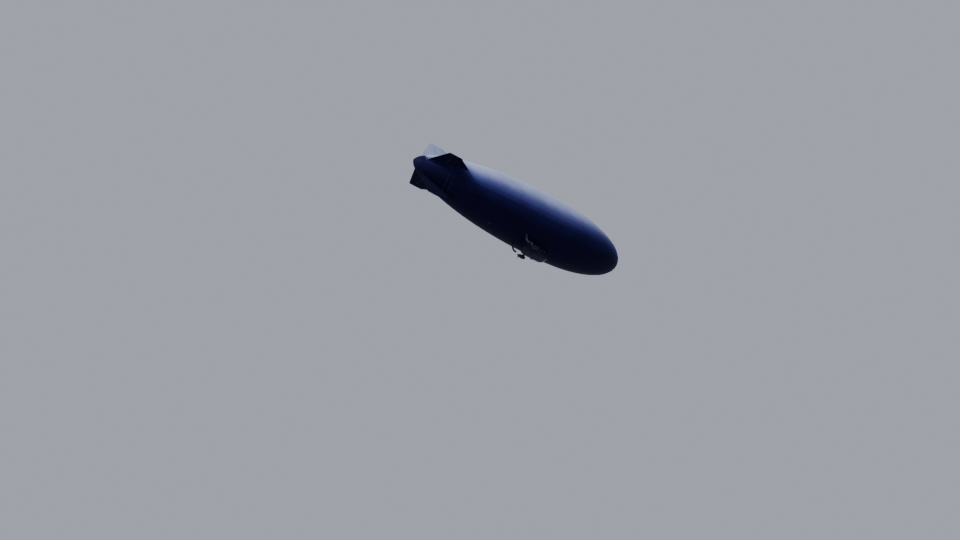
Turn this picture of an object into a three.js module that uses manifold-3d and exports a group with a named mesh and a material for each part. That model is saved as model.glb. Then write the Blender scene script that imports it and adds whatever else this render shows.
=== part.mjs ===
// Advertising blimp balloon: a pressure airship with its car, as a scale model at 1:2.
// Millimetres of the model, +X to the nose, +Y to port, +Z up.
// The origin is the centre of buoyancy, on the envelope's axis.
import * as THREE from "three";
import { mergeVertices } from "three/addons/utils/BufferGeometryUtils.js";
import Module from "manifold-3d";

const wasm = await Module();
wasm.setup();

// Driving dimensions

const fit = 0.3; // between pieces that touch
const play = 0.5; // round a pin, and beside its lug

const hull = {
  noseX: 13463,
  tailX: -15787,
  widestX: 1617,
  radius: 3500,
  wall: 10,
  sides: 32,
  noseSteps: 10,
  tailSteps: 12,
  noseHole: 250,
  tailHole: 200,
  nosePower: 2.5, // how full the nose is
  tailPower: 2.1, // how full the quarter ahead of the tail is
  tailTaper: 0.6, // how finely the tail runs out
};

const bow = {
  plate: 12,
  dishRadius: 520,
  battenCount: 16,
  battenLength: 1900,
  battenWidth: 55,
  battenHeight: 20,
  ringWidth: 60,
};

const spindle = { radius: 60, neck: 38, flange: 110, length: 240 };

const fin = {
  rootRadius: 1500,
  frontX: -10090, // leading edge where it meets the envelope
  frontRadius: 2400,
  sweep: 1.82, // millimetres aft for each millimetre out
  shoulder: 150, // the rounded tip's height
  stayDrop: 250, // from the tip to the stays' fittings
  halfThickness: 75,
  tipRound: 350, // how far aft the tip's front corner is cut back
  taper: 0.45, // the share of the thickness lost towards the tip
};

const hinge = {
  x: -13000,
  finGap: 80,
  flapLead: 20,
  pin: 12,
  lugHalfWidth: 25,
  lugReach: 28,
  lugThickness: 24,
  notchDepth: 48,
  spots: [0.2, 0.52, 0.84], // share of the span from the root
};

const flap = {
  rootRadius: 700,
  hullGap: 50,
  rootBackX: -14840,
  tipBackX: -13650,
  tipCut: 120,
};

// One row for each fin: its turn about X from the top towards starboard, its flap and its tip's radius.
const finTable = [
  { name: "fin_dorsal", flapName: "rudder_upper", turn: 0, tip: 3500 },
  { name: "fin_starboard", flapName: "elevator_starboard", turn: 90, tip: 3500 },
  { name: "fin_ventral", flapName: "rudder_lower", turn: 180, tip: 3200 },
  { name: "fin_port", flapName: "elevator_port", turn: 270, tip: 3500 },
];

const stay = {
  wire: 4,
  padRadius: 22,
  padHeight: 10,
  patchBackX: -12380,
  patchFrontX: -11430,
  patchWidth: 110,
  patchHeight: 14,
  foreX: -11600,
  aftX: -12200,
};

const car = {
  wall: 25,
  noseCutX: 2100,
  tailCutX: -150,
  roofCut: -3640,
  floorCut: -4500,
  corner: 180,
  top: -3560,
  halfWidth: 533,
  bottom: -4720,
};

// The car's outline along its length, from the front.
const carSections = [
  { x: 2940, halfWidth: 190, bottom: -4380, top: -3860 },
  { x: 2860, halfWidth: 330, bottom: -4500, top: -3760 },
  { x: 2680, halfWidth: 450, bottom: -4610, top: -3640 },
  { x: 2400, halfWidth: 520, bottom: -4690, top: -3570 },
  { x: 2100, halfWidth: car.halfWidth, bottom: car.bottom, top: car.top },
  { x: 100, halfWidth: car.halfWidth, bottom: car.bottom, top: car.top },
  { x: -250, halfWidth: 450, bottom: -4660, top: car.top },
  { x: -560, halfWidth: 260, bottom: -4520, top: car.top },
];

const fairing = { front: 2600, back: -600, halfWidth: 560, round: 420 };

const pane = { thickness: 6, lap: 25, corner: 60, bottom: -4190, top: -3730 };

// Each side's windows, as the x of both edges.
const portWindows = [[1640, 2030], [1160, 1560], [680, 1080], [200, 600]];
const starboardForeWindows = [[1640, 2030], [1190, 1560]];
const starboardAftWindows = [[140, 560]];

const door = {
  front: 1035,
  back: 665,
  bottom: -4465,
  top: -3695,
  frontGap: 5,
  backGap: 10,
  pinX: 1047,
  pinY: -545,
  knuckle: 8,
  knuckleLength: 30,
  knuckleTops: [-3780, -4320],
  leaf: 6,
  leafReach: 50,
};

const engine = {
  x: 250, // the mark that lengths along the engine are measured from
  y: 1150,
  z: -4420,
  skin: 12,
  intake: 95,
  shaftHole: 40,
  shaft: 25,
  shaftBack: -330,
};

// The cowling's radius along its length, from the front, measured from the engine's mark.
const cowlSections = [
  { x: 620, radius: 125 },
  { x: 560, radius: 172 },
  { x: 300, radius: 205 },
  { x: -100, radius: 190 },
  { x: -300, radius: 105 },
];

const outrigger = { front: 330, back: 0, height: 90 };

const propeller = { hub: 55, hubLength: 70, spinnerLength: 130 };

// One blade's sections: distance from the hub's centre, chord, thickness and pitch angle.
const bladeSections = [
  { r: 500, chord: 46, thickness: 5, pitch: 16 },
  { r: 470, chord: 74, thickness: 7, pitch: 17 },
  { r: 340, chord: 92, thickness: 12, pitch: 23 },
  { r: 190, chord: 88, thickness: 19, pitch: 36 },
  { r: 90, chord: 58, thickness: 30, pitch: 55 },
  { r: 20, chord: 44, thickness: 40, pitch: 60 },
];

const gear = {
  x: 900,
  strut: 45,
  strutBottom: -4880,
  flange: 110,
  headHeight: 45,
  headRadius: 52,
  trail: 70,
  axleZ: -5100,
  axle: 10,
  armInner: 58,
  armOuter: 72,
  tyre: 150,
  tyreHalfWidth: 50,
  rim: 85,
  rimHalfWidth: 38,
  hubHalfWidth: 48,
};

// Small fittings on the envelope: place along it, turn about it, radius and height.
const fittingTable = [
  { name: "air_valve_fore", x: 6200, turn: 180, radius: 170, height: 45, paint: "grey" },
  { name: "air_valve_aft", x: -5200, turn: 180, radius: 170, height: 45, paint: "grey" },
  { name: "gas_valve", x: 3600, turn: 112.5, radius: 150, height: 40, paint: "grey" },
  { name: "beacon_top", x: 1617, turn: 0, radius: 60, height: 85, paint: "lamp" },
];

// Materials

const paints = {
  envelope: paint(0x8c95ad, 0.6, 0),
  fin: paint(0x14142c, 0.6, 0),
  car: paint(0x1a1b34, 0.45, 0.1),
  metal: paint(0x9a9da3, 0.4, 0.8),
  grey: paint(0x5d6068, 0.6, 0.2),
  glass: paint(0x24303c, 0.1, 0.2),
  rubber: paint(0x161616, 0.9, 0),
  cushion: paint(0x30364a, 0.9, 0),
  blade: paint(0x1b1b1d, 0.5, 0.1),
  lamp: paint(0xa02020, 0.3, 0),
};

function paint(color, roughness, metalness) {
  return new THREE.MeshStandardMaterial({ color, roughness, metalness });
}

// Solids

// A three.js geometry as a solid that can be joined and cut.
function solid(geometry) {
  const bare = geometry.clone();
  for (const name of Object.keys(bare.attributes)) {
    if (name !== "position") bare.deleteAttribute(name);
  }
  const merged = mergeVertices(bare, 1e-3);
  return new wasm.Manifold(
    new wasm.Mesh({
      numProp: 3,
      vertProperties: merged.attributes.position.array,
      triVerts: new Uint32Array(merged.index.array),
    }),
  );
}

function join(...pieces) {
  return pieces.reduce((all, piece) => all.add(piece));
}

function block(x0, x1, y0, y1, z0, z1) {
  const geometry = new THREE.BoxGeometry(x1 - x0, y1 - y0, z1 - z0);
  return solid(geometry.translate((x0 + x1) / 2, (y0 + y1) / 2, (z0 + z1) / 2));
}

// A round bar between two points.
function bar(from, to, radius, sides = 16) {
  const start = new THREE.Vector3(...from);
  const way = new THREE.Vector3(...to).sub(start);
  const geometry = new THREE.CylinderGeometry(radius, radius, way.length(), sides);
  geometry.translate(0, way.length() / 2, 0);
  geometry.applyQuaternion(
    new THREE.Quaternion().setFromUnitVectors(new THREE.Vector3(0, 1, 0), way.normalize()),
  );
  return solid(geometry.translate(start.x, start.y, start.z));
}

// A profile of [x, radius] pairs turned about X, its outside running forwards.
function turned(profile, sides) {
  const points = profile.map(([x, radius]) => new THREE.Vector2(radius, x));
  return solid(new THREE.LatheGeometry(points, sides).rotateZ(-Math.PI / 2));
}

// A body lofted through rings of points: a cylinder whose vertices are moved to the rings.
// Seen from the first ring's end, the points run anticlockwise about the way to the last ring.
function loft(rings) {
  const sides = rings[0].length;
  const steps = rings.length - 1;
  const geometry = new THREE.CylinderGeometry(1, 1, steps, sides, steps);
  const position = geometry.attributes.position;
  const vertex = new THREE.Vector3();
  for (let i = 0; i < position.count; i++) {
    vertex.fromBufferAttribute(position, i);
    const ring = rings[Math.round(steps / 2 - vertex.y)];
    const turn = Math.round((Math.atan2(vertex.x, vertex.z) / (2 * Math.PI)) * sides);
    const onAxis = Math.hypot(vertex.x, vertex.z) < 0.5;
    const target = onAxis ? middleOf(ring) : ring[(turn + sides) % sides];
    position.setXYZ(i, ...target);
  }
  return solid(geometry);
}

function middleOf(ring) {
  return [0, 1, 2].map((axis) => ring.reduce((sum, point) => sum + point[axis], 0) / ring.length);
}

function rectangle(u0, u1, v0, v1, radius) {
  const shape = new THREE.Shape();
  shape.moveTo(u0 + radius, v0);
  shape.lineTo(u1 - radius, v0);
  shape.absarc(u1 - radius, v0 + radius, radius, -Math.PI / 2, 0);
  shape.lineTo(u1, v1 - radius);
  shape.absarc(u1 - radius, v1 - radius, radius, 0, Math.PI / 2);
  shape.lineTo(u0 + radius, v1);
  shape.absarc(u0 + radius, v1 - radius, radius, Math.PI / 2, Math.PI);
  shape.lineTo(u0, v0 + radius);
  shape.absarc(u0 + radius, v0 + radius, radius, Math.PI, 1.5 * Math.PI);
  return shape;
}

// A shape drawn in X and Z, carried from y0 to y1.
function acrossY(shape, y0, y1) {
  const geometry = new THREE.ExtrudeGeometry(shape, {
    depth: y1 - y0,
    bevelEnabled: false,
    curveSegments: 3,
  });
  return solid(geometry.rotateX(Math.PI / 2).translate(0, y1, 0));
}

// A shape drawn in Y and Z, carried from x0 to x1.
function alongX(shape, x0, x1) {
  const geometry = new THREE.ExtrudeGeometry(shape, {
    depth: x1 - x0,
    bevelEnabled: false,
    curveSegments: 3,
  });
  return solid(geometry.rotateX(Math.PI / 2).rotateZ(Math.PI / 2).translate(x0, 0, 0));
}

// A round tube along a curve, hollow where the bore is over 0.
function tube(curve, radius, bore, sides, steps) {
  const shape = new THREE.Shape().absarc(0, 0, radius, 0, 2 * Math.PI);
  if (bore > 0) shape.holes.push(new THREE.Path().absarc(0, 0, bore, 0, 2 * Math.PI, true));
  const geometry = new THREE.ExtrudeGeometry(shape, {
    steps,
    extrudePath: curve,
    curveSegments: sides / 2,
    bevelEnabled: false,
  });
  return solid(geometry);
}

function curveThrough(points) {
  return new THREE.CatmullRomCurve3(points.map((point) => new THREE.Vector3(...point)));
}

// The assembly

const root = new THREE.Group();

function place(name, body, material, turn = 0) {
  const mesh = body.getMesh();
  const geometry = new THREE.BufferGeometry();
  geometry.setAttribute("position", new THREE.BufferAttribute(mesh.vertProperties, 3));
  geometry.setIndex(new THREE.BufferAttribute(mesh.triVerts, 1));
  const flat = geometry.toNonIndexed();
  flat.computeVertexNormals();
  const piece = new THREE.Mesh(flat, material);
  piece.name = name;
  piece.rotation.x = THREE.MathUtils.degToRad(turn);
  root.add(piece);
}

// Envelope

function hullRadius(x) {
  if (x > hull.widestX) {
    const ahead = (x - hull.widestX) / (hull.noseX - hull.widestX);
    return hull.radius * Math.sqrt(1 - ahead ** hull.nosePower);
  }
  const behind = (hull.widestX - x) / (hull.widestX - hull.tailX);
  return hull.radius * (1 - behind ** hull.tailPower) ** hull.tailTaper;
}

// The places along the envelope where its facets break, closer together towards its ends.
function hullStations() {
  const noseShare = (1 - (hull.noseHole / hull.radius) ** 2) ** (1 / hull.nosePower);
  const tailShare = (1 - (hull.tailHole / hull.radius) ** (1 / hull.tailTaper)) ** (1 / hull.tailPower);
  const stations = [];
  for (let i = 0; i < hull.tailSteps; i++) {
    const share = tailShare * Math.cos(((i / hull.tailSteps) * Math.PI) / 2);
    stations.push(hull.widestX - (hull.widestX - hull.tailX) * share);
  }
  for (let i = 0; i <= hull.noseSteps; i++) {
    const share = noseShare * Math.sin(((i / hull.noseSteps) * Math.PI) / 2);
    stations.push(hull.widestX + (hull.noseX - hull.widestX) * share);
  }
  return stations;
}

const hullLine = hullStations().map((x) => [x, hullRadius(x)]);

// A line of [x, radius] points moved out by a distance, its stretches kept parallel.
function offsetLine(line, distance) {
  const normals = line.slice(1).map(([x, r], i) => {
    const dx = x - line[i][0];
    const dr = r - line[i][1];
    return new THREE.Vector2(-dr, dx).normalize();
  });
  return line.map(([x, r], i) => {
    const before = normals[Math.max(0, i - 1)];
    const after = normals[Math.min(normals.length - 1, i)];
    const way = before.clone().add(after).normalize();
    const reach = distance / way.dot(before);
    return [x + way.x * reach, r + way.y * reach];
  });
}

// The radius of the facets' ridges at x.
function ridge(x, line = hullLine) {
  const i = Math.max(1, line.findIndex((point) => point[0] >= x));
  const [x0, r0] = line[i - 1];
  const [x1, r1] = line[i];
  return r0 + ((r1 - r0) * (x - x0)) / (x1 - x0);
}

function hullSolid(growth) {
  const line = offsetLine(hullLine, growth);
  return turned([[line[0][0], 0], ...line, [line.at(-1)[0], 0]], hull.sides);
}

const hullCutter = hullSolid(fit);

const innerLine = offsetLine(hullLine, -hull.wall);
place(
  "envelope",
  turned([...hullLine, ...innerLine.toReversed(), hullLine[0]], hull.sides),
  paints.envelope,
);

// Nose dish, tail cap: each follows the envelope's end and closes its hole.

function endLine(fromX, toX) {
  const inside = hullLine.filter(([x]) => x > fromX && x < toX);
  const ends = [fromX, toX].filter((x) => x > hullLine[0][0] && x < hullLine.at(-1)[0]);
  return [...inside, ...ends.map((x) => [x, ridge(x)])].sort((a, b) => a[0] - b[0]);
}

function xAtRadius(radius) {
  const share = (1 - (radius / hull.radius) ** 2) ** (1 / hull.nosePower);
  return hull.widestX + (hull.noseX - hull.widestX) * share;
}

const dishBackX = xAtRadius(bow.dishRadius);
const dishLine = endLine(dishBackX, hull.noseX);
const noseFace = hull.noseX + bow.plate;
place(
  "nose_dish",
  turned(
    [
      [dishLine.at(-1)[0] + fit, 0],
      ...offsetLine(dishLine, fit).toReversed(),
      ...offsetLine(dishLine, fit + bow.plate),
      [noseFace, spindle.flange + 20],
      [noseFace, 0],
    ],
    hull.sides,
  ),
  paints.metal,
);

const capLine = endLine(hull.tailX, hullLine[2][0]);
place(
  "tail_cap",
  turned(
    [
      [hull.tailX - bow.plate, 0],
      [hull.tailX - bow.plate, hull.tailHole * 0.6],
      ...offsetLine(capLine, fit + bow.plate),
      ...offsetLine(capLine, fit).toReversed(),
      [hullLine[0][0] - fit, 0],
    ],
    hull.sides,
  ),
  paints.metal,
);

// A strip that lies along one ridge of the envelope, at the top before it is turned.
function ridgeStrip(fromX, toX, width, height) {
  const line = endLine(fromX, toX);
  const under = offsetLine(line, fit);
  const over = offsetLine(line, fit + height).toReversed();
  const shape = new THREE.Shape([...under, ...over].map(([x, z]) => new THREE.Vector2(x, z)));
  return acrossY(shape, -width / 2, width / 2);
}

const ringFrontX = dishBackX - bow.plate - 8;
const ringLine = endLine(ringFrontX - bow.ringWidth, ringFrontX);
const battenRing = turned(
  [
    ...offsetLine(ringLine, fit + bow.battenHeight),
    ...offsetLine(ringLine, fit).toReversed(),
    offsetLine(ringLine, fit + bow.battenHeight)[0],
  ],
  hull.sides,
);
const batten = ridgeStrip(ringFrontX - bow.battenLength, ringFrontX - 5, bow.battenWidth, bow.battenHeight);
const battens = Array.from({ length: bow.battenCount }, (_, i) =>
  batten.rotate([(i * 360) / bow.battenCount, 0, 0]),
);
place("nose_battens", join(battenRing, ...battens), paints.metal);

const spindleX = noseFace + fit;
place(
  "mooring_spindle",
  turned(
    [
      [spindleX, 0],
      [spindleX, spindle.flange],
      [spindleX + 20, spindle.flange],
      [spindleX + 40, spindle.radius],
      [spindleX + 120, spindle.radius],
      [spindleX + 135, spindle.neck],
      [spindleX + 170, spindle.neck],
      [spindleX + 185, spindle.radius],
      [spindleX + spindle.length, spindle.radius],
      [spindleX + spindle.length, 0],
    ],
    16,
  ),
  paints.metal,
);

// Fins and their flaps, made at the top and turned to their places

// Share of the chord from the front, and share of the half thickness.
const finProfile = [[0.04, 0.5], [0.25, 1], [0.6, 1], [1, 0.8]];
const flapProfile = [[0.02, 0.8], [0.3, 0.62], [0.7, 0.34], [1, 0.08]];

function wingRing(front, back, half, radius, profile) {
  const side = (sign) =>
    profile.map(([share, thickness]) => [front + (back - front) * share, sign * half * thickness, radius]);
  return [[front, 0, radius], ...side(1), ...side(-1).toReversed()];
}

const finFront = (radius) => fin.frontX - (radius - fin.frontRadius) * fin.sweep;
const finSpan = 2000;
const finHalf = (radius) => fin.halfThickness * (1 - (fin.taper * (radius - fin.rootRadius)) / finSpan);

function flapBack(radius) {
  const share = (radius - 1000) / 2500;
  return flap.rootBackX + (flap.tipBackX - flap.rootBackX) * share;
}

// The rings of a fin or a flap from its tip to its root.
function spanRings(tip, rootRadius, frontAt, backAt, profile, tipFront, tipBack) {
  const radii = [tip - fin.shoulder, tip - fin.stayDrop, fin.frontRadius, rootRadius];
  const tipRing = wingRing(tipFront, tipBack, finHalf(tip) * 0.4, tip, profile);
  return [
    tipRing,
    ...radii.map((radius) => wingRing(frontAt(radius), backAt(radius), finHalf(radius), radius, profile)),
  ];
}

const flapCutter = hullSolid(flap.hullGap);
const flapFrontX = hinge.x + hinge.flapLead;
const finBackX = hinge.x + hinge.finGap;

for (const { name, flapName, turn, tip } of finTable) {
  const shoulderFront = finFront(tip - fin.shoulder);
  const finBody = loft(
    spanRings(tip, fin.rootRadius, finFront, () => finBackX, finProfile, shoulderFront - fin.tipRound, finBackX),
  ).subtract(hullCutter);
  const flapBody = loft(
    spanRings(tip, flap.rootRadius, () => flapFrontX, flapBack, flapProfile, flapFrontX, flapBack(tip) + flap.tipCut),
  ).subtract(flapCutter);
  const rootZ = ridge(hinge.x) + flap.hullGap;
  const lugRadii = hinge.spots.map((share) => rootZ + (tip - rootZ) * share);
  const half = hinge.lugThickness / 2;
  let fixed = finBody;
  let moving = flapBody;
  for (const radius of lugRadii) {
    const lug = block(
      hinge.x - hinge.lugReach,
      finBackX + 40,
      -hinge.lugHalfWidth,
      hinge.lugHalfWidth,
      radius - half,
      radius + half,
    );
    const from = [hinge.x, 0, radius - half - 30];
    const to = [hinge.x, 0, radius + half + 30];
    fixed = fixed.add(lug).subtract(bar(from, to, hinge.pin + 2 * play));
    const notch = block(hinge.x - hinge.notchDepth, finBackX, -100, 100, radius - half - play, radius + half + play);
    moving = moving.subtract(notch).add(bar(from, to, hinge.pin));
  }
  place(name, fixed, paints.fin, turn);
  place(flapName, moving, paints.fin, turn);
}

// Main stays: in each quadrant a load patch with two wires to each of the two fins beside it

function finFitting(tip, profileRow) {
  const radius = tip - fin.stayDrop;
  const front = finFront(radius);
  const [share, thickness] = finProfile[profileRow];
  return {
    x: front + (finBackX - front) * share,
    y: finHalf(radius) * thickness + 2 * fit,
    z: radius,
  };
}

function staySolid(tip, side) {
  const wires = [
    { row: 1, patchX: stay.foreX },
    { row: 2, patchX: stay.aftX },
  ].map(({ row, patchX }) => {
    const { x, y, z } = finFitting(tip, row);
    const out = ridge(patchX) + fit + stay.patchHeight / 2;
    const foot = [patchX, (side * out) / Math.SQRT2, out / Math.SQRT2];
    const pad = bar([x, side * y, z], [x, side * (y + stay.padHeight), z], stay.padRadius, 12);
    const wire = bar([x, side * (y + stay.padHeight / 2), z], foot, stay.wire, 8);
    return join(pad, wire);
  });
  return join(...wires);
}

const stayNames = ["stays_upper_starboard", "stays_lower_starboard", "stays_lower_port", "stays_upper_port"];
const patch = ridgeStrip(stay.patchBackX, stay.patchFrontX, stay.patchWidth, stay.patchHeight);
stayNames.forEach((name, i) => {
  const first = finTable[i];
  const second = finTable[(i + 1) % finTable.length];
  // Made between the top and starboard, then turned with the first fin.
  const body = join(
    patch.rotate([45, 0, 0]),
    staySolid(first.tip, -1),
    staySolid(second.tip, 1).rotate([90, 0, 0]),
  );
  place(name, body, paints.metal, first.turn);
});

// Small fittings on the envelope

for (const { name, x, turn, radius, height, paint: colour } of fittingTable) {
  const foot = ridge(x);
  const body = bar([x, 0, foot - 40], [x, 0, foot + height], radius, 20).subtract(hullCutter);
  place(name, body, paints[colour], turn);
}

// Car: one lofted body, hollowed and parted where its panels meet

function carRing({ x, halfWidth, bottom, top }, inset) {
  const wide = halfWidth - inset;
  const low = bottom + inset;
  const high = top - inset;
  const middle = (low + high) / 2;
  const bottomCorner = Math.max(20, Math.min(car.corner, halfWidth * 0.6) - inset);
  const topCorner = Math.max(12, Math.min(70, halfWidth * 0.4) - inset);
  const arc = (y, z, radius, from) =>
    [0, 1, 2, 3, 4].map((i) => {
      const angle = THREE.MathUtils.degToRad(from + i * 22.5);
      return [x, y + radius * Math.sin(angle), z + radius * Math.cos(angle)];
    });
  const port = [
    ...arc(wide - topCorner, high - topCorner, topCorner, 0),
    [x, wide, middle],
    ...arc(wide - bottomCorner, low + bottomCorner, bottomCorner, 90),
  ];
  const starboard = port.map(([px, y, z]) => [px, -y, z]);
  return [[x, 0, high], ...starboard, [x, 0, low], ...port.toReversed()];
}

function carSolid(inset) {
  const last = carSections.length - 1;
  return loft(
    carSections.map((section, i) => {
      const shift = i === 0 ? -inset : i === last ? inset : 0;
      return carRing({ ...section, x: section.x + shift }, inset);
    }),
  );
}

const carOuter = carSolid(0);
const carClear = carSolid(-fit);
const carRoom = carSolid(car.wall + fit);
const carShell = carOuter.subtract(carSolid(car.wall));
const glassShell = carRoom.subtract(carSolid(car.wall + fit + pane.thickness));
const half = fit / 2;
const wide = 700;

const windowsIn = (list, y0, y1) =>
  join(...list.map(([x0, x1]) => acrossY(rectangle(x0, x1, pane.bottom, pane.top, pane.corner), y0, y1)));

const middleX = [car.tailCutX + half, car.noseCutX - half];
place(
  "car_roof",
  carShell.intersect(block(...middleX, -wide, wide, car.roofCut + half, -3400)),
  paints.car,
);
place(
  "car_floor",
  carShell.intersect(block(...middleX, -wide, wide, -4900, car.floorCut - half)),
  paints.car,
);

const sideBlock = (y0, y1) => block(...middleX, y0, y1, car.floorCut + half, car.roofCut - half);
place(
  "car_side_port",
  carShell.intersect(sideBlock(0, wide)).subtract(windowsIn(portWindows, 400, wide)),
  paints.car,
);

// A hinge leaf with its knuckle: side -1 reaches aft over the door, 1 forwards over the wall.
function hingeLeaf(top, side) {
  const bottom = top - door.knuckleLength;
  const far = door.pinX + side * door.leafReach;
  const near = door.pinX + side * 17;
  const faceY = -car.halfWidth + 0.5;
  const inner = door.pinY + door.leaf / 2;
  const spacer = block(Math.min(near, far), Math.max(near, far), inner - 1, faceY, bottom, top);
  const plate = block(
    Math.min(door.pinX, far),
    Math.max(door.pinX, far),
    door.pinY - door.leaf / 2,
    inner,
    bottom,
    top,
  );
  const knuckle = bar([door.pinX, door.pinY, bottom], [door.pinX, door.pinY, top], door.knuckle, 12);
  return join(spacer, plate, knuckle);
}

const doorway = block(
  door.back - door.backGap,
  door.front + door.frontGap,
  -wide,
  -400,
  door.bottom - 5,
  door.top + 5,
);
const wallLeaves = door.knuckleTops.map((top) => hingeLeaf(top - door.knuckleLength - fit, 1));
place(
  "car_side_starboard",
  join(
    carShell
      .intersect(sideBlock(-wide, 0))
      .subtract(windowsIn([...starboardForeWindows, ...starboardAftWindows], -wide, -400))
      .subtract(doorway),
    ...wallLeaves,
  ),
  paints.car,
);

const doorGlass = [730, 970];
const doorBlock = block(door.back, door.front, -wide, -400, door.bottom, door.top);
place(
  "passenger_door",
  join(
    carShell.intersect(doorBlock).subtract(windowsIn([doorGlass], -wide, -400)),
    ...door.knuckleTops.map((top) => hingeLeaf(top, -1)),
  ),
  paints.car,
);

// Nose windows: two ahead of the pilots and one beside each, parted by pillars.
const pillar = 22;
const frontWindow = alongX(rectangle(pillar, 330, -4200, -3830, 50), 2700, 3000);
const besideWindow = acrossY(rectangle(2180, 2780, -4220, -3730, 60), 250, wide);
const noseWindows = [0, 1].flatMap((side) =>
  [frontWindow, besideWindow].map((cut) => (side ? cut.mirror([0, 1, 0]) : cut)),
);
place(
  "car_nose",
  carShell.intersect(block(car.noseCutX + half, 3000, -wide, wide, -4900, -3400)).subtract(join(...noseWindows)),
  paints.car,
);

const tailWindow = alongX(rectangle(-170, 170, -4180, -3760, 50), -700, -400);
place(
  "car_tail",
  carShell.intersect(block(-700, car.tailCutX - half, -wide, wide, -4900, -3400)).subtract(tailWindow),
  paints.car,
);

// Glazing: thin sheets behind the window openings

place("windscreen", glassShell.intersect(block(2120, 3000, -wide, wide, -4250, -3700)), paints.glass);
place("window_tail", glassShell.intersect(block(-700, -420, -wide, wide, -4210, -3730)), paints.glass);

function sideGlass(list, side) {
  const edges = list.flat();
  const y = side * (car.halfWidth - car.wall - fit);
  const inner = y - side * pane.thickness;
  return block(
    Math.min(...edges) - pane.lap,
    Math.max(...edges) + pane.lap,
    Math.min(y, inner),
    Math.max(y, inner),
    pane.bottom - pane.lap,
    pane.top + pane.lap,
  );
}

place("windows_port", sideGlass(portWindows, 1), paints.glass);
place("windows_starboard_fore", sideGlass(starboardForeWindows, -1), paints.glass);
place("windows_starboard_aft", sideGlass(starboardAftWindows, -1), paints.glass);
place("door_glass", sideGlass([doorGlass], -1), paints.glass);

// Fairing between the roof and the envelope

const fairingShape = new THREE.Shape();
fairingShape.moveTo(fairing.back + fairing.round, -fairing.halfWidth);
fairingShape.lineTo(fairing.front - fairing.round, -fairing.halfWidth);
fairingShape.absellipse(
  fairing.front - fairing.round,
  0,
  fairing.round,
  fairing.halfWidth,
  -Math.PI / 2,
  Math.PI / 2,
);
fairingShape.lineTo(fairing.back + fairing.round, fairing.halfWidth);
fairingShape.absellipse(
  fairing.back + fairing.round,
  0,
  fairing.round,
  fairing.halfWidth,
  Math.PI / 2,
  1.5 * Math.PI,
);
const fairingBase = car.top + fit;
const fairingBody = new THREE.ExtrudeGeometry(fairingShape, {
  depth: 300,
  bevelEnabled: false,
  curveSegments: 10,
}).translate(0, 0, fairingBase);
place("car_fairing", solid(fairingBody).subtract(hullCutter), paints.car);

// Inside the car

const floorZ = car.bottom + car.wall + fit;

// A seat whose front is at x, facing forwards.
function seatAt(x, y) {
  const side = 115;
  return join(
    block(x - 190, x - 60, y - 60, y + 60, floorZ, floorZ + 160),
    block(x - 250, x, y - side, y + side, floorZ + 150, floorZ + 220),
    block(x - 290, x - 235, y - side, y + side, floorZ + 150, floorZ + 540),
  );
}

place("pilot_seat_port", seatAt(2080, 250), paints.cushion);
place("pilot_seat_starboard", seatAt(2080, -250), paints.cushion);

const passengerSeats = [[1560, 250], [1560, -250], [1130, 250], [700, 250], [300, 250], [300, -250]];
place(
  "passenger_seats",
  join(block(110, 1620, -350, 350, floorZ, floorZ + 6), ...passengerSeats.map(([x, y]) => seatAt(x, y))),
  paints.cushion,
);

const panelShape = new THREE.Shape([
  new THREE.Vector2(2470, -4690),
  new THREE.Vector2(2620, -4690),
  new THREE.Vector2(2620, -4290),
  new THREE.Vector2(2560, -4180),
  new THREE.Vector2(2500, -4180),
  new THREE.Vector2(2440, -4330),
]);
place("instrument_panel", acrossY(panelShape, -280, 280).intersect(carRoom), paints.grey);

const wheelHub = [2030, 0, -4420];
const rim = new THREE.TorusGeometry(105, 8, 6, 20).rotateX(Math.PI / 2).translate(...wheelHub);
const spokes = [0, 45, 90, 135].map((angle) => {
  const dx = 105 * Math.cos(THREE.MathUtils.degToRad(angle));
  const dz = 105 * Math.sin(THREE.MathUtils.degToRad(angle));
  const [x, y, z] = wheelHub;
  return bar([x - dx, y, z - dz], [x + dx, y, z + dz], 4, 6);
});
place(
  "elevator_wheel",
  join(
    solid(rim),
    ...spokes,
    bar([2030, -16, -4420], [2030, 40, -4420], 18, 12),
    block(2005, 2055, 24, 44, floorZ, -4400),
  ),
  paints.metal,
);

// Handrails along the foot of the car

for (const [name, side] of [["handrail_port", 1], ["handrail_starboard", -1]]) {
  const y = side * 572;
  const z = -4625;
  const rail = curveThrough([
    [2420, side * 420, z],
    [2330, side * 520, z],
    [2200, y, z],
    [1050, y, z],
    [-50, y, z],
    [-180, side * 520, z],
    [-260, side * 400, z],
  ]);
  const posts = [0.13, 0.31, 0.5, 0.69, 0.87].map((share) => {
    const spot = rail.getPointAt(share);
    return bar([spot.x, side * 400, z + 30], spot.toArray(), 8, 6);
  });
  place(name, join(tube(rail, 10, 0, 6, 24), ...posts).subtract(carClear), paints.metal);
}

// Engines, made to port and mirrored

function cowlSolid(inset) {
  return loft(
    cowlSections.map(({ x, radius }, i) => {
      const end = i === 0 ? -inset : i === cowlSections.length - 1 ? inset : 0;
      const sides = 16;
      return Array.from({ length: sides }, (_, k) => {
        const angle = (k / sides) * 2 * Math.PI;
        return [
          engine.x + x + end,
          engine.y - (radius - inset) * Math.sin(angle),
          engine.z + (radius - inset) * Math.cos(angle),
        ];
      });
    }),
  );
}

const onShaft = (x) => [engine.x + x, engine.y, engine.z];
const cowlOuter = cowlSolid(0);
const cowlClear = cowlSolid(-fit);
const cowlRoom = cowlSolid(engine.skin + fit);
const cowling = cowlOuter
  .subtract(cowlSolid(engine.skin))
  .subtract(bar(onShaft(500), onShaft(700), engine.intake))
  .subtract(bar(onShaft(-400), onShaft(-200), engine.shaftHole));

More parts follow.
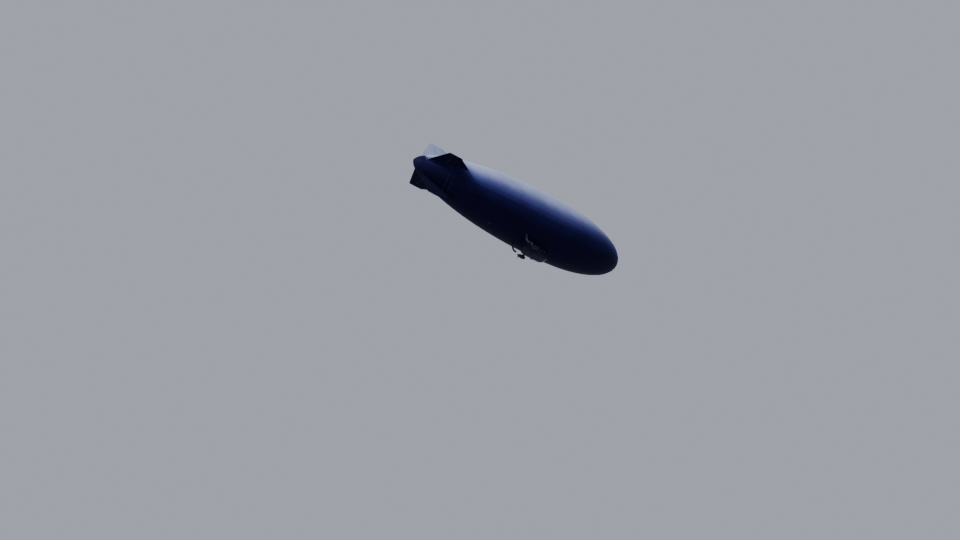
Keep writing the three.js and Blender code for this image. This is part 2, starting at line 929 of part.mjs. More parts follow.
// A block about the shaft: its ends, half its width, its bottom and its top.
function engineBox(back, front, halfWidth, bottom, top) {
  const [x, y, z] = onShaft(0);
  return block(x + back, x + front, y - halfWidth, y + halfWidth, z + bottom, z + top);
}

const engineBlock = join(
  engineBox(0, 400, 105, -100, 80),
  engineBox(60, 340, 30, -230, 230).intersect(cowlRoom),
  bar(onShaft(20), onShaft(engine.shaftBack), engine.shaft),
);

function blade(turn) {
  const rings = bladeSections.map(({ r, chord, thickness, pitch }) => {
    const angle = THREE.MathUtils.degToRad(90 - pitch);
    const outline = [
      [0.5, 0], [0.3, 0.42], [0, 0.5], [-0.3, 0.3], [-0.5, 0.05],
      [-0.5, -0.05], [-0.3, -0.3], [0, -0.5], [0.3, -0.42],
    ];
    return outline.map(([along, off]) => {
      const a = along * chord;
      const b = off * thickness;
      return [a * Math.cos(angle) - b * Math.sin(angle), a * Math.sin(angle) + b * Math.cos(angle), r];
    });
  });
  return loft(rings).rotate([turn, 0, 0]);
}

const hubFront = -fit;
const hubBack = hubFront - propeller.hubLength;
const propellerBody = join(
  turned(
    [
      [hubBack - propeller.spinnerLength, 0],
      [hubBack - propeller.spinnerLength + 12, 16],
      [hubBack - propeller.spinnerLength * 0.55, 38],
      [hubBack, propeller.hub],
      [hubFront, propeller.hub],
      [hubFront, 0],
    ],
    16,
  ),
  ...[0, 180].map((turn) => blade(turn).translate([-propeller.hubLength / 2, 0, 0])),
).translate(onShaft(engine.shaftBack));

const exhaustBody = tube(
  curveThrough([
    [engine.x + 250, engine.y + 60, engine.z - 120],
    [engine.x + 240, engine.y + 60, engine.z - 215],
    [engine.x + 190, engine.y + 60, engine.z - 245],
    [engine.x + 60, engine.y + 60, engine.z - 250],
  ]),
  16,
  11,
  8,
  8,
).subtract(cowlClear);

const beam = block(
  engine.x + outrigger.back,
  engine.x + outrigger.front,
  car.halfWidth + fit,
  engine.y,
  engine.z - outrigger.height / 2,
  engine.z + outrigger.height / 2,
).subtract(cowlClear);

// Air scoop: its mouth faces the propeller, its top meets the envelope.
const scoopBody = tube(
  curveThrough([
    [engine.x - 640, engine.y, -4150],
    [engine.x - 800, engine.y, -4140],
    [engine.x - 980, engine.y, -4050],
    [engine.x - 1080, engine.y, -3820],
    [engine.x - 1100, engine.y, -3500],
    [engine.x - 1100, engine.y, -3200],
  ]),
  110,
  100,
  12,
  10,
).subtract(hullCutter);

const powerTable = [
  { name: "engine_cowling", body: cowling, colour: "car" },
  { name: "engine_block", body: engineBlock, colour: "grey" },
  { name: "propeller", body: propellerBody, colour: "blade" },
  { name: "exhaust", body: exhaustBody, colour: "metal" },
  { name: "outrigger", body: beam, colour: "car" },
  { name: "air_scoop", body: scoopBody, colour: "car" },
];
for (const { name, body, colour } of powerTable) {
  place(name + "_port", body, paints[colour]);
  place(name + "_starboard", body.mirror([0, 1, 0]), paints[colour]);
}

// Landing gear

const strutTop = car.bottom - fit;
place(
  "landing_strut",
  join(
    bar([gear.x, 0, strutTop - 14], [gear.x, 0, strutTop], gear.flange, 20),
    bar([gear.x, 0, gear.strutBottom], [gear.x, 0, strutTop], gear.strut, 20),
  ),
  paints.metal,
);

const headTop = gear.strutBottom - fit;
const headBottom = headTop - gear.headHeight;
const axleX = gear.x - gear.trail;
const armShape = new THREE.Shape([
  new THREE.Vector2(gear.x + 35, headTop - 5),
  new THREE.Vector2(gear.x - 45, headTop - 5),
  new THREE.Vector2(axleX - 30, gear.axleZ + 10),
  new THREE.Vector2(axleX - 22, gear.axleZ - 25),
  new THREE.Vector2(axleX + 22, gear.axleZ - 25),
  new THREE.Vector2(axleX + 32, gear.axleZ + 10),
]);
place(
  "landing_fork",
  join(
    bar([gear.x, 0, headBottom + 20], [gear.x, 0, headTop], gear.headRadius, 20),
    block(gear.x - 55, gear.x + 40, -gear.armOuter, gear.armOuter, headBottom + 8, headTop - 10),
    acrossY(armShape, gear.armInner, gear.armOuter),
    acrossY(armShape, -gear.armOuter, -gear.armInner),
    bar([axleX, -gear.armOuter, gear.axleZ], [axleX, gear.armOuter, gear.axleZ], gear.axle, 16),
  ),
  paints.metal,
);

// A profile turned about the wheel's axle, given as [y, radius] pairs running to port on the outside.
function turnedOnAxle(profile, sides) {
  return turned(profile, sides)
    .rotate([0, 0, 90])
    .translate([axleX, 0, gear.axleZ]);
}

const bore = gear.axle + 2 * play;
place(
  "wheel_rim",
  turnedOnAxle(
    [
      [-gear.rimHalfWidth, gear.rim],
      [gear.rimHalfWidth, gear.rim],
      [gear.rimHalfWidth, gear.rim - 16],
      [14, 40],
      [gear.hubHalfWidth, 32],
      [gear.hubHalfWidth, bore],
      [-gear.hubHalfWidth, bore],
      [-gear.hubHalfWidth, 32],
      [-14, 40],
      [-gear.rimHalfWidth, gear.rim - 16],
      [-gear.rimHalfWidth, gear.rim],
    ],
    24,
  ),
  paints.metal,
);
place(
  "wheel_tyre",
  turnedOnAxle(
    [
      [-gear.rimHalfWidth, gear.rim + fit],
      [-gear.tyreHalfWidth, 112],
      [-gear.tyreHalfWidth + 8, 136],
      [-24, gear.tyre],
      [24, gear.tyre],
      [gear.tyreHalfWidth - 8, 136],
      [gear.tyreHalfWidth, 112],
      [gear.rimHalfWidth, gear.rim + fit],
      [-gear.rimHalfWidth, gear.rim + fit],
    ],
    24,
  ),
  paints.rubber,
);

export default root;
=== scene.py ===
import math

import bmesh
import bpy
import numpy as np
from mathutils import Matrix, Vector
from mathutils.bvhtree import BVHTree


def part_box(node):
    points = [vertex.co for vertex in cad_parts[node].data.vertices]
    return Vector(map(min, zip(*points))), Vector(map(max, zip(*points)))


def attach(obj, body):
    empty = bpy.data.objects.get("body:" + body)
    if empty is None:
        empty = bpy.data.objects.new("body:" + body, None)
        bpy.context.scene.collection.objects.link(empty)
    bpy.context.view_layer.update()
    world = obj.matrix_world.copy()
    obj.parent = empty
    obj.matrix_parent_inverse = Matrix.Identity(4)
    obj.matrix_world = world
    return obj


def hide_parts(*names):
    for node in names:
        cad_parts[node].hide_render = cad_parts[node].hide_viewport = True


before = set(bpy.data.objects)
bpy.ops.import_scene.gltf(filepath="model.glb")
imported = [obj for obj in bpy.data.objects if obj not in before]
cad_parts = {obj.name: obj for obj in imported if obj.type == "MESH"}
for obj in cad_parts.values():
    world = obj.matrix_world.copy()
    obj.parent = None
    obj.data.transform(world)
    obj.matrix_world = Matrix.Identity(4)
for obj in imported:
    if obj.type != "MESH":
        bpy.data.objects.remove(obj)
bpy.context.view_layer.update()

# Camera and light

camera = dict(
    lens=80,
    sensor=36,
    clip=(1, 20000),
    distance=235.1,
    astern=0.525,  # share of the sight line that runs straight astern
    below=45,  # degrees under the ship's starboard beam
    lookAt=(-1.162, 0, 0),  # middle of the envelope
    lookAtPixel=(517.4, 213.9),
    imageSize=(960, 540),
    roll=-0.15,
    eyeHeight=0.8,
)
light = dict(
    keyAbove=62,  # degrees above the starboard beam
    keyAstern=62,
    keyPower=7.5,
    keySoftness=14,
    fillWay=(0.8, 0.5, 0.3),
    fillPower=0.5,
    fillSoftness=60,
    world=(0.40, 0.42, 0.50),
    floor=(0.30, 0.31, 0.33),
    floorRoughness=0.95,
    floorRadius=6000,
    floorSides=64,
)


def newObject(name, data):
    made = bpy.data.objects.new(name, data)
    bpy.context.scene.collection.objects.link(made)
    return made


def makeCamera(c):
    beam = math.sqrt(1 - c["astern"] ** 2)
    below = math.radians(c["below"])
    away = Vector((-c["astern"], -beam * math.cos(below), -beam * math.sin(below)))
    side = (-away).cross(Vector((0, 0, 1))).normalized()
    side = Matrix.Rotation(math.radians(c["roll"]), 3, away) @ side
    up = side.cross(-away)
    wide, high = c["imageSize"]
    pixel = c["sensor"] / c["lens"] / wide
    across = (c["lookAtPixel"][0] - wide / 2) * pixel
    lift = (high / 2 - c["lookAtPixel"][1]) * pixel
    ahead = (-away - side * across - up * lift).normalized()
    data = bpy.data.cameras.new("camera")
    data.lens = c["lens"]
    data.sensor_width = c["sensor"]
    data.clip_start, data.clip_end = c["clip"]
    eye = newObject("camera", data)
    eye.location = Vector(c["lookAt"]) + away * c["distance"]
    side = ahead.cross(up).normalized()
    up = side.cross(ahead)
    eye.rotation_mode = "QUATERNION"
    eye.rotation_quaternion = Matrix((side, up, -ahead)).transposed().to_quaternion()
    bpy.context.scene.camera = eye
    return eye.location.z - c["eyeHeight"]


def makeLight(c, floorZ):
    above, astern = math.radians(c["keyAbove"]), math.radians(c["keyAstern"])
    key = Vector((-math.sin(astern), -math.cos(astern) * math.cos(above), math.cos(astern) * math.sin(above)))
    suns = (
        ("key", key, c["keyPower"], c["keySoftness"]),
        ("fill", Vector(c["fillWay"]), c["fillPower"], c["fillSoftness"]),
    )
    for name, way, power, softness in suns:
        data = bpy.data.lights.new(name, "SUN")
        data.energy = power
        data.angle = math.radians(softness)
        lamp = newObject(name, data)
        lamp.rotation_mode = "QUATERNION"
        lamp.rotation_quaternion = way.to_track_quat("Z", "Y")
    world = bpy.data.worlds.new("studio")
    world.use_nodes = True
    world.node_tree.nodes["Background"].inputs["Color"].default_value = (*c["world"], 1)
    bpy.context.scene.world = world
    angle = np.linspace(0, 2 * np.pi, c["floorSides"], endpoint=False)
    rim = np.stack([np.cos(angle), np.sin(angle)], -1) * c["floorRadius"]
    mesh = bpy.data.meshes.new("floor")
    mesh.from_pydata([(x, y, floorZ) for x, y in rim], [], [list(range(len(rim)))])
    floor = newObject("floor", mesh)
    paint = bpy.data.materials.new("floorPaint")
    paint.use_nodes = True
    shader = paint.node_tree.nodes["Principled BSDF"]
    shader.inputs["Base Color"].default_value = (*c["floor"], 1)
    shader.inputs["Roughness"].default_value = c["floorRoughness"]
    mesh.materials.append(paint)


floorLevel = makeCamera(camera)
makeLight(light, floorLevel)
print("camera and light are set")


# Shader values: a socket with Python's operators

class Value:
    def __init__(self, tree, socket=None):
        self.tree = tree
        self.socket = socket

    def node(self, kind, settings=None, inputs=None, output=0):
        made = self.tree.nodes.new(kind)
        for name, value in (settings or {}).items():
            if name == "stops":
                ramp = made.color_ramp.elements
                while len(ramp) < len(value):
                    ramp.new(0.5)
                for element, (place, colour) in zip(ramp, value):
                    element.position = place
                    element.color = (*colour, 1)
            else:
                setattr(made, name, value)
        for name, value in (inputs or {}).items():
            target = made.inputs[name]
            if isinstance(value, Value):
                self.tree.links.new(value.socket, target)
            else:
                target.default_value = value
        return Value(self.tree, made.outputs[output])

    def math(self, operation, first, second=0.0):
        return self.node("ShaderNodeMath", {"operation": operation}, {0: first, 1: second})

    def __add__(self, other):
        return self.math("ADD", self, other)

    __radd__ = __add__

    def __mul__(self, other):
        return self.math("MULTIPLY", self, other)

    def __sub__(self, other):
        return self.math("SUBTRACT", self, other)

    def __rsub__(self, other):
        return self.math("SUBTRACT", other, self)

    def __truediv__(self, other):
        return self.math("DIVIDE", self, other)

    def __pow__(self, other):
        return self.math("POWER", self, other)

    def sine(self):
        return self.math("SINE", self)

    def fraction(self):
        return self.math("FRACT", self)

    def whole(self):
        return self.math("FLOOR", self)

    def size(self):
        return self.math("ABSOLUTE", self)

    def most(self, other):
        return self.math("MAXIMUM", self, other)

    def clamped(self):
        return self.node("ShaderNodeClamp", {}, {0: self})

    def lineGap(self, spacing):
        # metres to the nearest line, where the lines stand at whole numbers and spacing apart
        return (0.5 - (self.fraction() - 0.5).size()) * spacing

    def step(self, low, high):
        # rises smoothly from 0 at low to 1 at high
        if low > high:
            return 1 - self.step(high, low)
        return self.node(
            "ShaderNodeMapRange",
            {"interpolation_type": "SMOOTHSTEP"},
            {"Value": self, "From Min": low, "From Max": high},
        )

    def parts(self):
        return [self.node("ShaderNodeSeparateXYZ", {}, {0: self}, i) for i in range(3)]

    def noise(self, scale, detail=3.0, rough=0.5, way=None):
        # soft random values about 0.5, stretched by way
        place = self
        if way is not None:
            place = self.node("ShaderNodeMapping", {}, {"Vector": self, "Scale": way})
        return self.node(
            "ShaderNodeTexNoise", {}, {"Vector": place, "Scale": scale, "Detail": detail, "Roughness": rough}
        )

    def mix(self, first, second):
        # first where this value is 0, second where it is 1
        first, second = (x if isinstance(x, Value) else (*x, 1) for x in (first, second))
        return self.node("ShaderNodeMix", {"data_type": "RGBA"}, {0: self, 6: first, 7: second}, 2)

    def bump(self):
        # the normal of a surface that stands this many metres high
        return self.node("ShaderNodeBump", {}, {"Height": self, "Distance": 1.0, "Strength": 1.0})


def combine(x, y, z):
    return x.node("ShaderNodeCombineXYZ", {}, {0: x, 1: y, 2: z})


def shade(colour, factor):
    return tuple(value * factor for value in colour)


def newMaterial(name, fixed, build=None):
    material = bpy.data.materials.new(name)
    material.use_nodes = True
    tree = material.node_tree
    shader = tree.nodes["Principled BSDF"]
    for socket, value in fixed.items():
        shader.inputs[socket].default_value = (*value, 1) if isinstance(value, tuple) else value
    if build is not None:
        start = Value(tree)
        for socket, value in build(start).items():
            tree.links.new(value.socket, shader.inputs[socket])
    return material


def objectPlace(start):
    return start.node("ShaderNodeTexCoord", {}, {}, 3)


# Envelope cloth: silver blue above, fading to navy below in painted shade, with the seams of its gores and their cross
# joints

clothSettings = dict(
    gores=32,
    # colour at each height, in degrees of the surface above the beam: the fade to navy and its bluer middle are painted
    # shade
    fade=(
        (-50, (0.0035, 0.0026, 0.022)), (-28, (0.007, 0.007, 0.055)), (-19, (0.022, 0.021, 0.12)),
        (-11, (0.045, 0.05, 0.18)), (-3, (0.09, 0.10, 0.26)), (5, (0.17, 0.195, 0.37)),
        (14, (0.22, 0.255, 0.42)), (40, (0.27, 0.31, 0.44)),
    ),
    waver=3,  # how many degrees the fade's height varies
    # painted shadow: the fade to navy stands higher beside the fins, where their shadow falls
    finShadowShift=22,  # how many degrees it climbs beside the fins, and between which x
    finShadowClimb=(-9.3, -11.5),
    # painted shade: the fade also climbs towards the nose, which faces away from the key light, by so many degrees and
    # between which x
    noseShadeShift=13,
    noseShadeClimb=(1, 11),
    stern=(-14.55, -14.95),  # the last stretch of the tail is navy all round
    tape=0.016,  # half width of a seam tape
    joint=0.012,
    panelLength=1.45,
    stagger=0.9,  # how far a gore's joints stand from its neighbour's, in halves of a panel
    grime=0.22,
    panelShade=0.06,
    seamHeight=0.0016,
    puffHeight=0.010,
)


def clothNodes(start):
    c = clothSettings
    place = objectPlace(start)
    x, y, z = place.parts()
    radius = (y * y + z * z) ** 0.5
    height = start.math("ARCTAN2", z, y.size()) * (180 / math.pi)
    gore = start.math("ARCTAN2", y, z) * (c["gores"] / (2 * math.pi)) + c["gores"]
    seam = gore.lineGap(radius * (2 * math.pi / c["gores"])).step(c["tape"] * 1.25, c["tape"] * 0.8)
    course = x / c["panelLength"] + (gore.whole() * 0.5).fraction() * c["stagger"] + 20
    joint = course.lineGap(c["panelLength"]).step(c["joint"] * 1.3, c["joint"] * 0.8)
    panel = combine(course.whole(), gore.whole(), 0)
    panelTone = start.node("ShaderNodeTexWhiteNoise", {"noise_dimensions": "3D"}, {"Vector": panel})
    soft = place.noise(0.55, 4.0, 0.55)
    fine = place.noise(3.2, 5.0, 0.6)
    runs = combine(x, gore * 0.12, z * 0.05).noise(2.6, 4.0, 0.6)
    grime = (runs.step(0.5, 0.75) * 0.35 + fine.step(0.5, 0.8) * 0.25) * height.step(60, -30)
    # painted shade and shadow: the fade climbs beside the fins and towards the nose
    shadeClimb = x.step(*c["finShadowClimb"]) * c["finShadowShift"] + x.step(*c["noseShadeClimb"]) * c["noseShadeShift"]
    # the colour ramp by height, whose fade to navy is painted shade
    low, high = c["fade"][0][0], c["fade"][-1][0]
    share = (height - shadeClimb + (soft - 0.5) * c["waver"] - low) / (high - low)
    stops = [((degrees - low) / (high - low), colour) for degrees, colour in c["fade"]]
    paintAndShade = share.node("ShaderNodeValToRGB", {"stops": stops}, {0: share})
    tone = 0.94 + soft.step(0.3, 0.7) * 0.12 - panelTone * c["panelShade"] - grime * c["grime"]
    tapeTone = seam.most(joint * 0.8).clamped()
    tone = tone * (1 - tapeTone * height.step(-25, 10) * 0.16 + tapeTone * height.step(10, -25) * 0.5)
    paintAndShade = x.step(*c["stern"]).mix(paintAndShade, c["fade"][0][1])
    colour = paintAndShade.node("ShaderNodeVectorMath", {"operation": "SCALE"}, {0: paintAndShade, "Scale": tone})
    weave = place.noise(420, 1.0, 0.5)
    puff = place.noise(1.15, 2.0, 0.5)
    relief = seam.most(joint) * c["seamHeight"] + puff * c["puffHeight"] + fine * 0.0012 + weave * 0.0002
    return {
        "Base Color": colour,
        "Roughness": 0.62 + fine * 0.16 + tapeTone * 0.06 + grime * 0.12,
        "Normal": relief.bump(),
    }


# Fin cloth: doped fabric over ribs, pale or navy by the piece's own tint; navy on faces that look down and on the lower
# fin is painted shade

finCloth = dict(
    pale=(0.27, 0.31, 0.45),
    navy=(0.004, 0.004, 0.018),
    grime=(0.18, 0.19, 0.22),
    ribSpacing=0.2625,
    tape=0.017,
    ribHeight=0.0014,
)


def finNodes(start):
    c = finCloth
    place = objectPlace(start)
    # 1 for pale cloth and 0 for navy, the navy being painted shade
    tint = start.node("ShaderNodeAttribute", {"attribute_name": "tint"}, {}, 2)
    spread = start.node("ShaderNodeUVMap", {"uv_map": "cloth"})
    along, out, other = spread.parts()
    ribGap = (out / c["ribSpacing"] + 40).lineGap(c["ribSpacing"])
    rib = ribGap.step(c["tape"] * 1.25, c["tape"] * 0.8)
    stitch = (along * 40).fraction().step(0.35, 0.5) * ribGap.step(0.006, 0.003)
    fine = place.noise(4.0, 5.0, 0.6)
    soft = place.noise(0.9, 3.0, 0.5)
    runs = combine(along * 3.0, out * 0.35, other).noise(2.2, 4.0, 0.6)
    grime = (runs.step(0.48, 0.75) * 0.4 + fine.step(0.55, 0.8) * 0.3).clamped()
    pale = grime.mix(soft.step(0.3, 0.7).mix(shade(c["pale"], 0.93), shade(c["pale"], 1.05)), c["grime"])
    navy = (fine.step(0.4, 0.8) * 0.7).mix(c["navy"], shade(c["navy"], 2.2))
    tape = tint.mix(shade(c["navy"], 1.9), shade(c["pale"], 0.8))
    weave = place.noise(420, 1.0, 0.5)
    relief = rib * c["ribHeight"] + stitch * 0.0008 + fine * 0.001 + weave * 0.0002
    return {
        "Base Color": (rib * 0.5).mix(tint.mix(navy, pale), tape),
        "Roughness": 0.58 + fine * 0.18 + rib * 0.06,
        "Normal": relief.bump(),
    }


def plainCloth(colour, light, scale=5.0, fold=0.004):
    # a woven fabric with soft folds and worn, lighter patches
    def build(start):
        place = objectPlace(start)
        fine = place.noise(scale * 3, 5.0, 0.6)
        soft = place.noise(scale, 2.0, 0.5)
        x, y, z = place.parts()
        thread = ((x + z) * 900).sine() * ((y - z) * 900).sine()
        return {
            "Base Color": fine.step(0.4, 0.7).mix(colour, light),
            "Roughness": 0.75 + fine * 0.2,
            "Normal": (soft * fold + fine * 0.0008 + thread * 0.0002).bump(),
        }

    return build


def paintNodes(colour, worn, dust, rough):
    # enamel paint with faint orange peel, dust and dull rubbed patches
    def build(start):
        place = objectPlace(start)
        peel = place.noise(160, 2.0, 0.5)
        fine = place.noise(14, 6.0, 0.65)
        soft = place.noise(2.4, 3.0, 0.5)
        runs = place.noise(5, 4.0, 0.6, (1, 1, 0.15))
        dusty = (runs.step(0.5, 0.8) * 0.35 + fine.step(0.62, 0.85) * 0.25).clamped()
        tone = soft.step(0.3, 0.7).mix(colour, worn)
        return {
            "Base Color": dusty.mix(tone, dust),
            "Roughness": rough + dusty * 0.35 + soft * 0.1,
            "Normal": (peel * 0.00015 + fine * 0.0004).bump(),
        }

    return build


def metalNodes(colour, dull, rough):
    # metal with fine draw marks and dull stains
    def build(start):
        place = objectPlace(start)
        drawn = place.noise(60, 3.0, 0.6, (1, 1, 14))
        stain = place.noise(7, 5.0, 0.65)
        dulled = stain.step(0.5, 0.78)
        return {
            "Base Color": (dulled * 0.8).mix(colour, dull),
            "Roughness": rough + dulled * 0.25 + drawn * 0.12,
            "Normal": (drawn * 0.0003 + stain * 0.0006).bump(),
        }

    return build


def rubberNodes(start):
    place = objectPlace(start)
    fine = place.noise(40, 5.0, 0.6)
    dusty = place.noise(6, 4.0, 0.6).step(0.45, 0.75)
    return {
        "Base Color": (dusty * 0.6).mix((0.012, 0.012, 0.013), (0.06, 0.055, 0.05)),
        "Roughness": 0.7 + fine * 0.25,
        "Normal": (fine * 0.0008).bump(),
    }


def glassNodes(start):
    place = objectPlace(start)
    smear = place.noise(9, 4.0, 0.6, (1, 1, 0.4)).step(0.5, 0.8)
    return {
        "Base Color": smear.mix((0.020, 0.026, 0.05), (0.05, 0.06, 0.09)),
        "Roughness": 0.04 + smear * 0.18,
    }


def lampNodes(start):
    place = objectPlace(start)
    rings = (place.parts()[2] * 900).sine()
    deep = place.noise(30, 3.0, 0.5)
    return {
        "Base Color": deep.step(0.3, 0.7).mix((0.30, 0.012, 0.010), (0.48, 0.03, 0.02)),
        "Roughness": 0.08 + deep * 0.1,
        "Normal": (rings * 0.0006).bump(),
    }


clothSpecular = {"Specular IOR Level": 0.05}
dullSpecular = {"Specular IOR Level": 0.3}
materialTable = [
    # name, slot, fixed values, nodes
    ("envelopeCloth", "envelope_cloth", clothSpecular, clothNodes),
    ("finCloth", "fin_cloth", clothSpecular, finNodes),
    ("scoopCloth", "scoop_cloth", dullSpecular, plainCloth((0.018, 0.018, 0.045), (0.035, 0.036, 0.075))),
    ("patchCloth", "scoop_cloth", dullSpecular, plainCloth((0.10, 0.11, 0.15), (0.17, 0.18, 0.24))),
    (
        "seatCloth", "seat_cover", {"Sheen Weight": 0.3},
        plainCloth((0.035, 0.045, 0.09), (0.06, 0.075, 0.13), 12, 0.001),
    ),
    (
        "carPaint", "car_paint", {"Specular IOR Level": 0.16},
        paintNodes((0.005, 0.005, 0.022), (0.008, 0.008, 0.030), (0.018, 0.018, 0.038), 0.42),
    ),
    ("cabinTrim", "fitting_grey", {}, paintNodes((0.10, 0.11, 0.13), (0.13, 0.14, 0.16), (0.2, 0.2, 0.2), 0.6)),
    (
        "greyPaint", "fitting_grey", dullSpecular,
        paintNodes((0.035, 0.037, 0.05), (0.05, 0.052, 0.065), (0.10, 0.10, 0.10), 0.45),
    ),
    (
        "bladePaint", "blade_black", {"Coat Weight": 0.2},
        paintNodes((0.012, 0.012, 0.013), (0.022, 0.022, 0.024), (0.09, 0.085, 0.08), 0.3),
    ),
    ("bareMetal", "bare_metal", {"Metallic": 0.9}, metalNodes((0.56, 0.57, 0.60), (0.34, 0.34, 0.35), 0.3)),
    ("wireMetal", "bare_metal", dullSpecular, metalNodes((0.014, 0.014, 0.030), (0.010, 0.010, 0.02), 0.5)),
    ("engineMetal", "engine_metal", {"Metallic": 0.6}, metalNodes((0.10, 0.10, 0.105), (0.05, 0.045, 0.04), 0.5)),
    ("glazing", "glazing", {"Alpha": 0.55, "Specular IOR Level": 0.4}, glassNodes),
    ("redLamp", "red_lamp", {"Coat Weight": 0.6}, lampNodes),
    ("rubber", "tyre", dullSpecular, rubberNodes),
    (
        "clearLamp", "glazing", {"Coat Weight": 0.6},
        paintNodes((0.55, 0.55, 0.52), (0.62, 0.62, 0.58), (0.4, 0.4, 0.38), 0.1),
    ),
]
materials = {name: newMaterial(name, fixed, nodes) for name, slot, fixed, nodes in materialTable}
print("materials are made")


# Surfaces as numpy arrays. A part is its points and its faces, a triangle's fourth corner being -1.

def turnsOf(count):
    # the angles of even steps round a full turn
    return np.linspace(0, 2 * np.pi, count, endpoint=False)


def lengthAlong(path):
    # the distance along a line to each of its points
    return np.concatenate([[0], np.cumsum(np.linalg.norm(np.diff(path, axis=0), axis=1))])


def unit(vectors):
    return vectors / np.linalg.norm(vectors, axis=-1, keepdims=True)


def aboutX(angle):
    # directions square to X, from the top towards port
    return np.stack([np.zeros_like(angle), np.sin(angle), np.cos(angle)], -1)


def gridPart(points, closeRows=False, capEnds=False):
    # four-cornered faces between neighbouring rows, each a closed ring of points, with each end closed to its middle
    rows, columns = points.shape[:2]
    row = np.arange(rows if closeRows else rows - 1)
    r0, c0 = (a.ravel() for a in np.meshgrid(row, np.arange(columns), indexing="ij"))
    r1, c1 = (r0 + 1) % rows, (c0 + 1) % columns
    faces = np.stack([r0 * columns + c0, r1 * columns + c0, r1 * columns + c1, r0 * columns + c1], -1)
    flat = points.reshape(-1, 3)
    if capEnds:
        first = np.arange(columns)
        last = first + (rows - 1) * columns
        for ring, back in ((first, False), (last, True)):
            following = np.roll(ring, -1)
            pair = (following, ring) if back else (ring, following)
            middle = np.full(columns, len(flat))
            faces = np.vstack([faces, np.stack([*pair, middle, np.full(columns, -1)], -1)])
            flat = np.vstack([flat, flat[ring].mean(0)])
    return flat, faces


def outwards(part):
    # turns the faces round where the volume under them comes out negative
    points, faces = part
    centred = points - points.mean(0)
    a, b, c = (centred[faces[:, i]] for i in range(3))
    d = centred[np.where(faces[:, 3] < 0, faces[:, 2], faces[:, 3])]
    volume = (a * (np.cross(b, c) + np.cross(c, d))).sum()
    return (points, faces[:, [2, 1, 0, 3]]) if volume < 0 else (points, faces)


def makePiece(name, parts, body, material, replaces=(), sharp=38, uv=None, tint=None):
    parts = [outwards(part) for part in parts]
    starts = np.cumsum([0] + [len(part[0]) for part in parts[:-1]])
    points = np.vstack([part[0] for part in parts])
    faces = np.vstack([np.where(part[1] < 0, -1, part[1] + start) for part, start in zip(parts, starts)])
    used = faces >= 0
    corners = faces[used].astype(np.int32)
    mesh = bpy.data.meshes.new(name)
    mesh.vertices.add(len(points))
    mesh.vertices.foreach_set("co", points.astype(np.float32).ravel())
    mesh.loops.add(len(corners))
    mesh.loops.foreach_set("vertex_index", corners)
    mesh.polygons.add(len(faces))
    loopStart = np.concatenate([[0], np.cumsum(used.sum(1))[:-1]]).astype(np.int32)
    mesh.polygons.foreach_set("loop_start", loopStart)
    mesh.polygons.foreach_set("use_smooth", np.ones(len(faces), bool))
    mesh.update(calc_edges=True)
    mesh.set_sharp_from_angle(angle=math.radians(sharp))
    if uv is not None:
        layer = mesh.uv_layers.new(name="cloth")
        layer.data.foreach_set("uv", uv[corners].astype(np.float32).ravel())
    if tint is not None:
        mesh.attributes.new("tint", "FLOAT", "POINT").data.foreach_set("value", tint.astype(np.float32))
    return finishPiece(newObject(name, mesh), body, material, replaces)


def finishPiece(piece, body, material, replaces):
    piece.data.materials.clear()
    piece.data.materials.append(materials[material])
    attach(piece, body)
    if replaces:
        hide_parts(*replaces)
    return piece


def makePair(name, parts, material, node=None, bodies=("ship", "ship")):
    # the port piece as it is built, and its mirror image to starboard
    made = []
    for side, body in zip(("port", "starboard"), bodies):
        own = parts if side == "port" else [mirrored(part) for part in parts]
        made.append(makePiece(f"{name}_{side}", own, body, material, [f"{node}_{side}"] if node else ()))
    return made


def moved(part, matrix):
    points, faces = part
    m = np.array(matrix, float)
    return points @ m[:3, :3].T + m[:3, 3], faces


def shifted(part, x, y, z):
    points, faces = part
    return points + [x, y, z], faces


def turnedPart(part, degrees):
    # turned about X, from the top towards starboard
    return moved(part, Matrix.Rotation(math.radians(degrees), 4, "X"))


def mirrored(part):
    points, faces = part
    return points * np.array([1, -1, 1]), faces


def circle(radius, count):
    angle = turnsOf(count)
    return np.stack([radius * np.cos(angle), radius * np.sin(angle)], -1)


def roundedBox(width, height, radius, each=5):
    # a rectangle about the origin whose corners are quarter circles
    middle = np.array([width / 2 - radius, height / 2 - radius])
    corners = []
    for k, signs in enumerate([(1, 1), (-1, 1), (-1, -1), (1, -1)]):
        angle = np.linspace(0, np.pi / 2, each) + k * np.pi / 2
        corners.append(middle * signs + radius * np.stack([np.cos(angle), np.sin(angle)], -1))
    return np.vstack(corners)


def roundX(profile, sides, closed=False):
    # a line of (x, radius) pairs turned about the X axis
    x, radius = np.asarray(profile, float).T
    points = radius[:, None, None] * aboutX(turnsOf(sides))
    points[..., 0] = x[:, None]
    return gridPart(points, closeRows=closed, capEnds=not closed)


def curveThrough(points, count):
    # a smooth curve through a few points: cubic stretches whose slopes are taken from the points either side
    points = np.asarray(points, float)
    knots = lengthAlong(points)
    gaps = np.diff(knots)
    slopes = np.gradient(points, knots, axis=0)
    t = np.linspace(0, knots[-1], count)
    i = np.clip(np.searchsorted(knots, t, side="right") - 1, 0, len(gaps) - 1)
    u = ((t - knots[i]) / gaps[i])[:, None]
    span = gaps[i][:, None]
    return (
        (2 * u**3 - 3 * u**2 + 1) * points[i]
        + (u**3 - 2 * u**2 + u) * span * slopes[i]
        + (3 * u**2 - 2 * u**3) * points[i + 1]
        + (u**3 - u**2) * span * slopes[i + 1]
    )


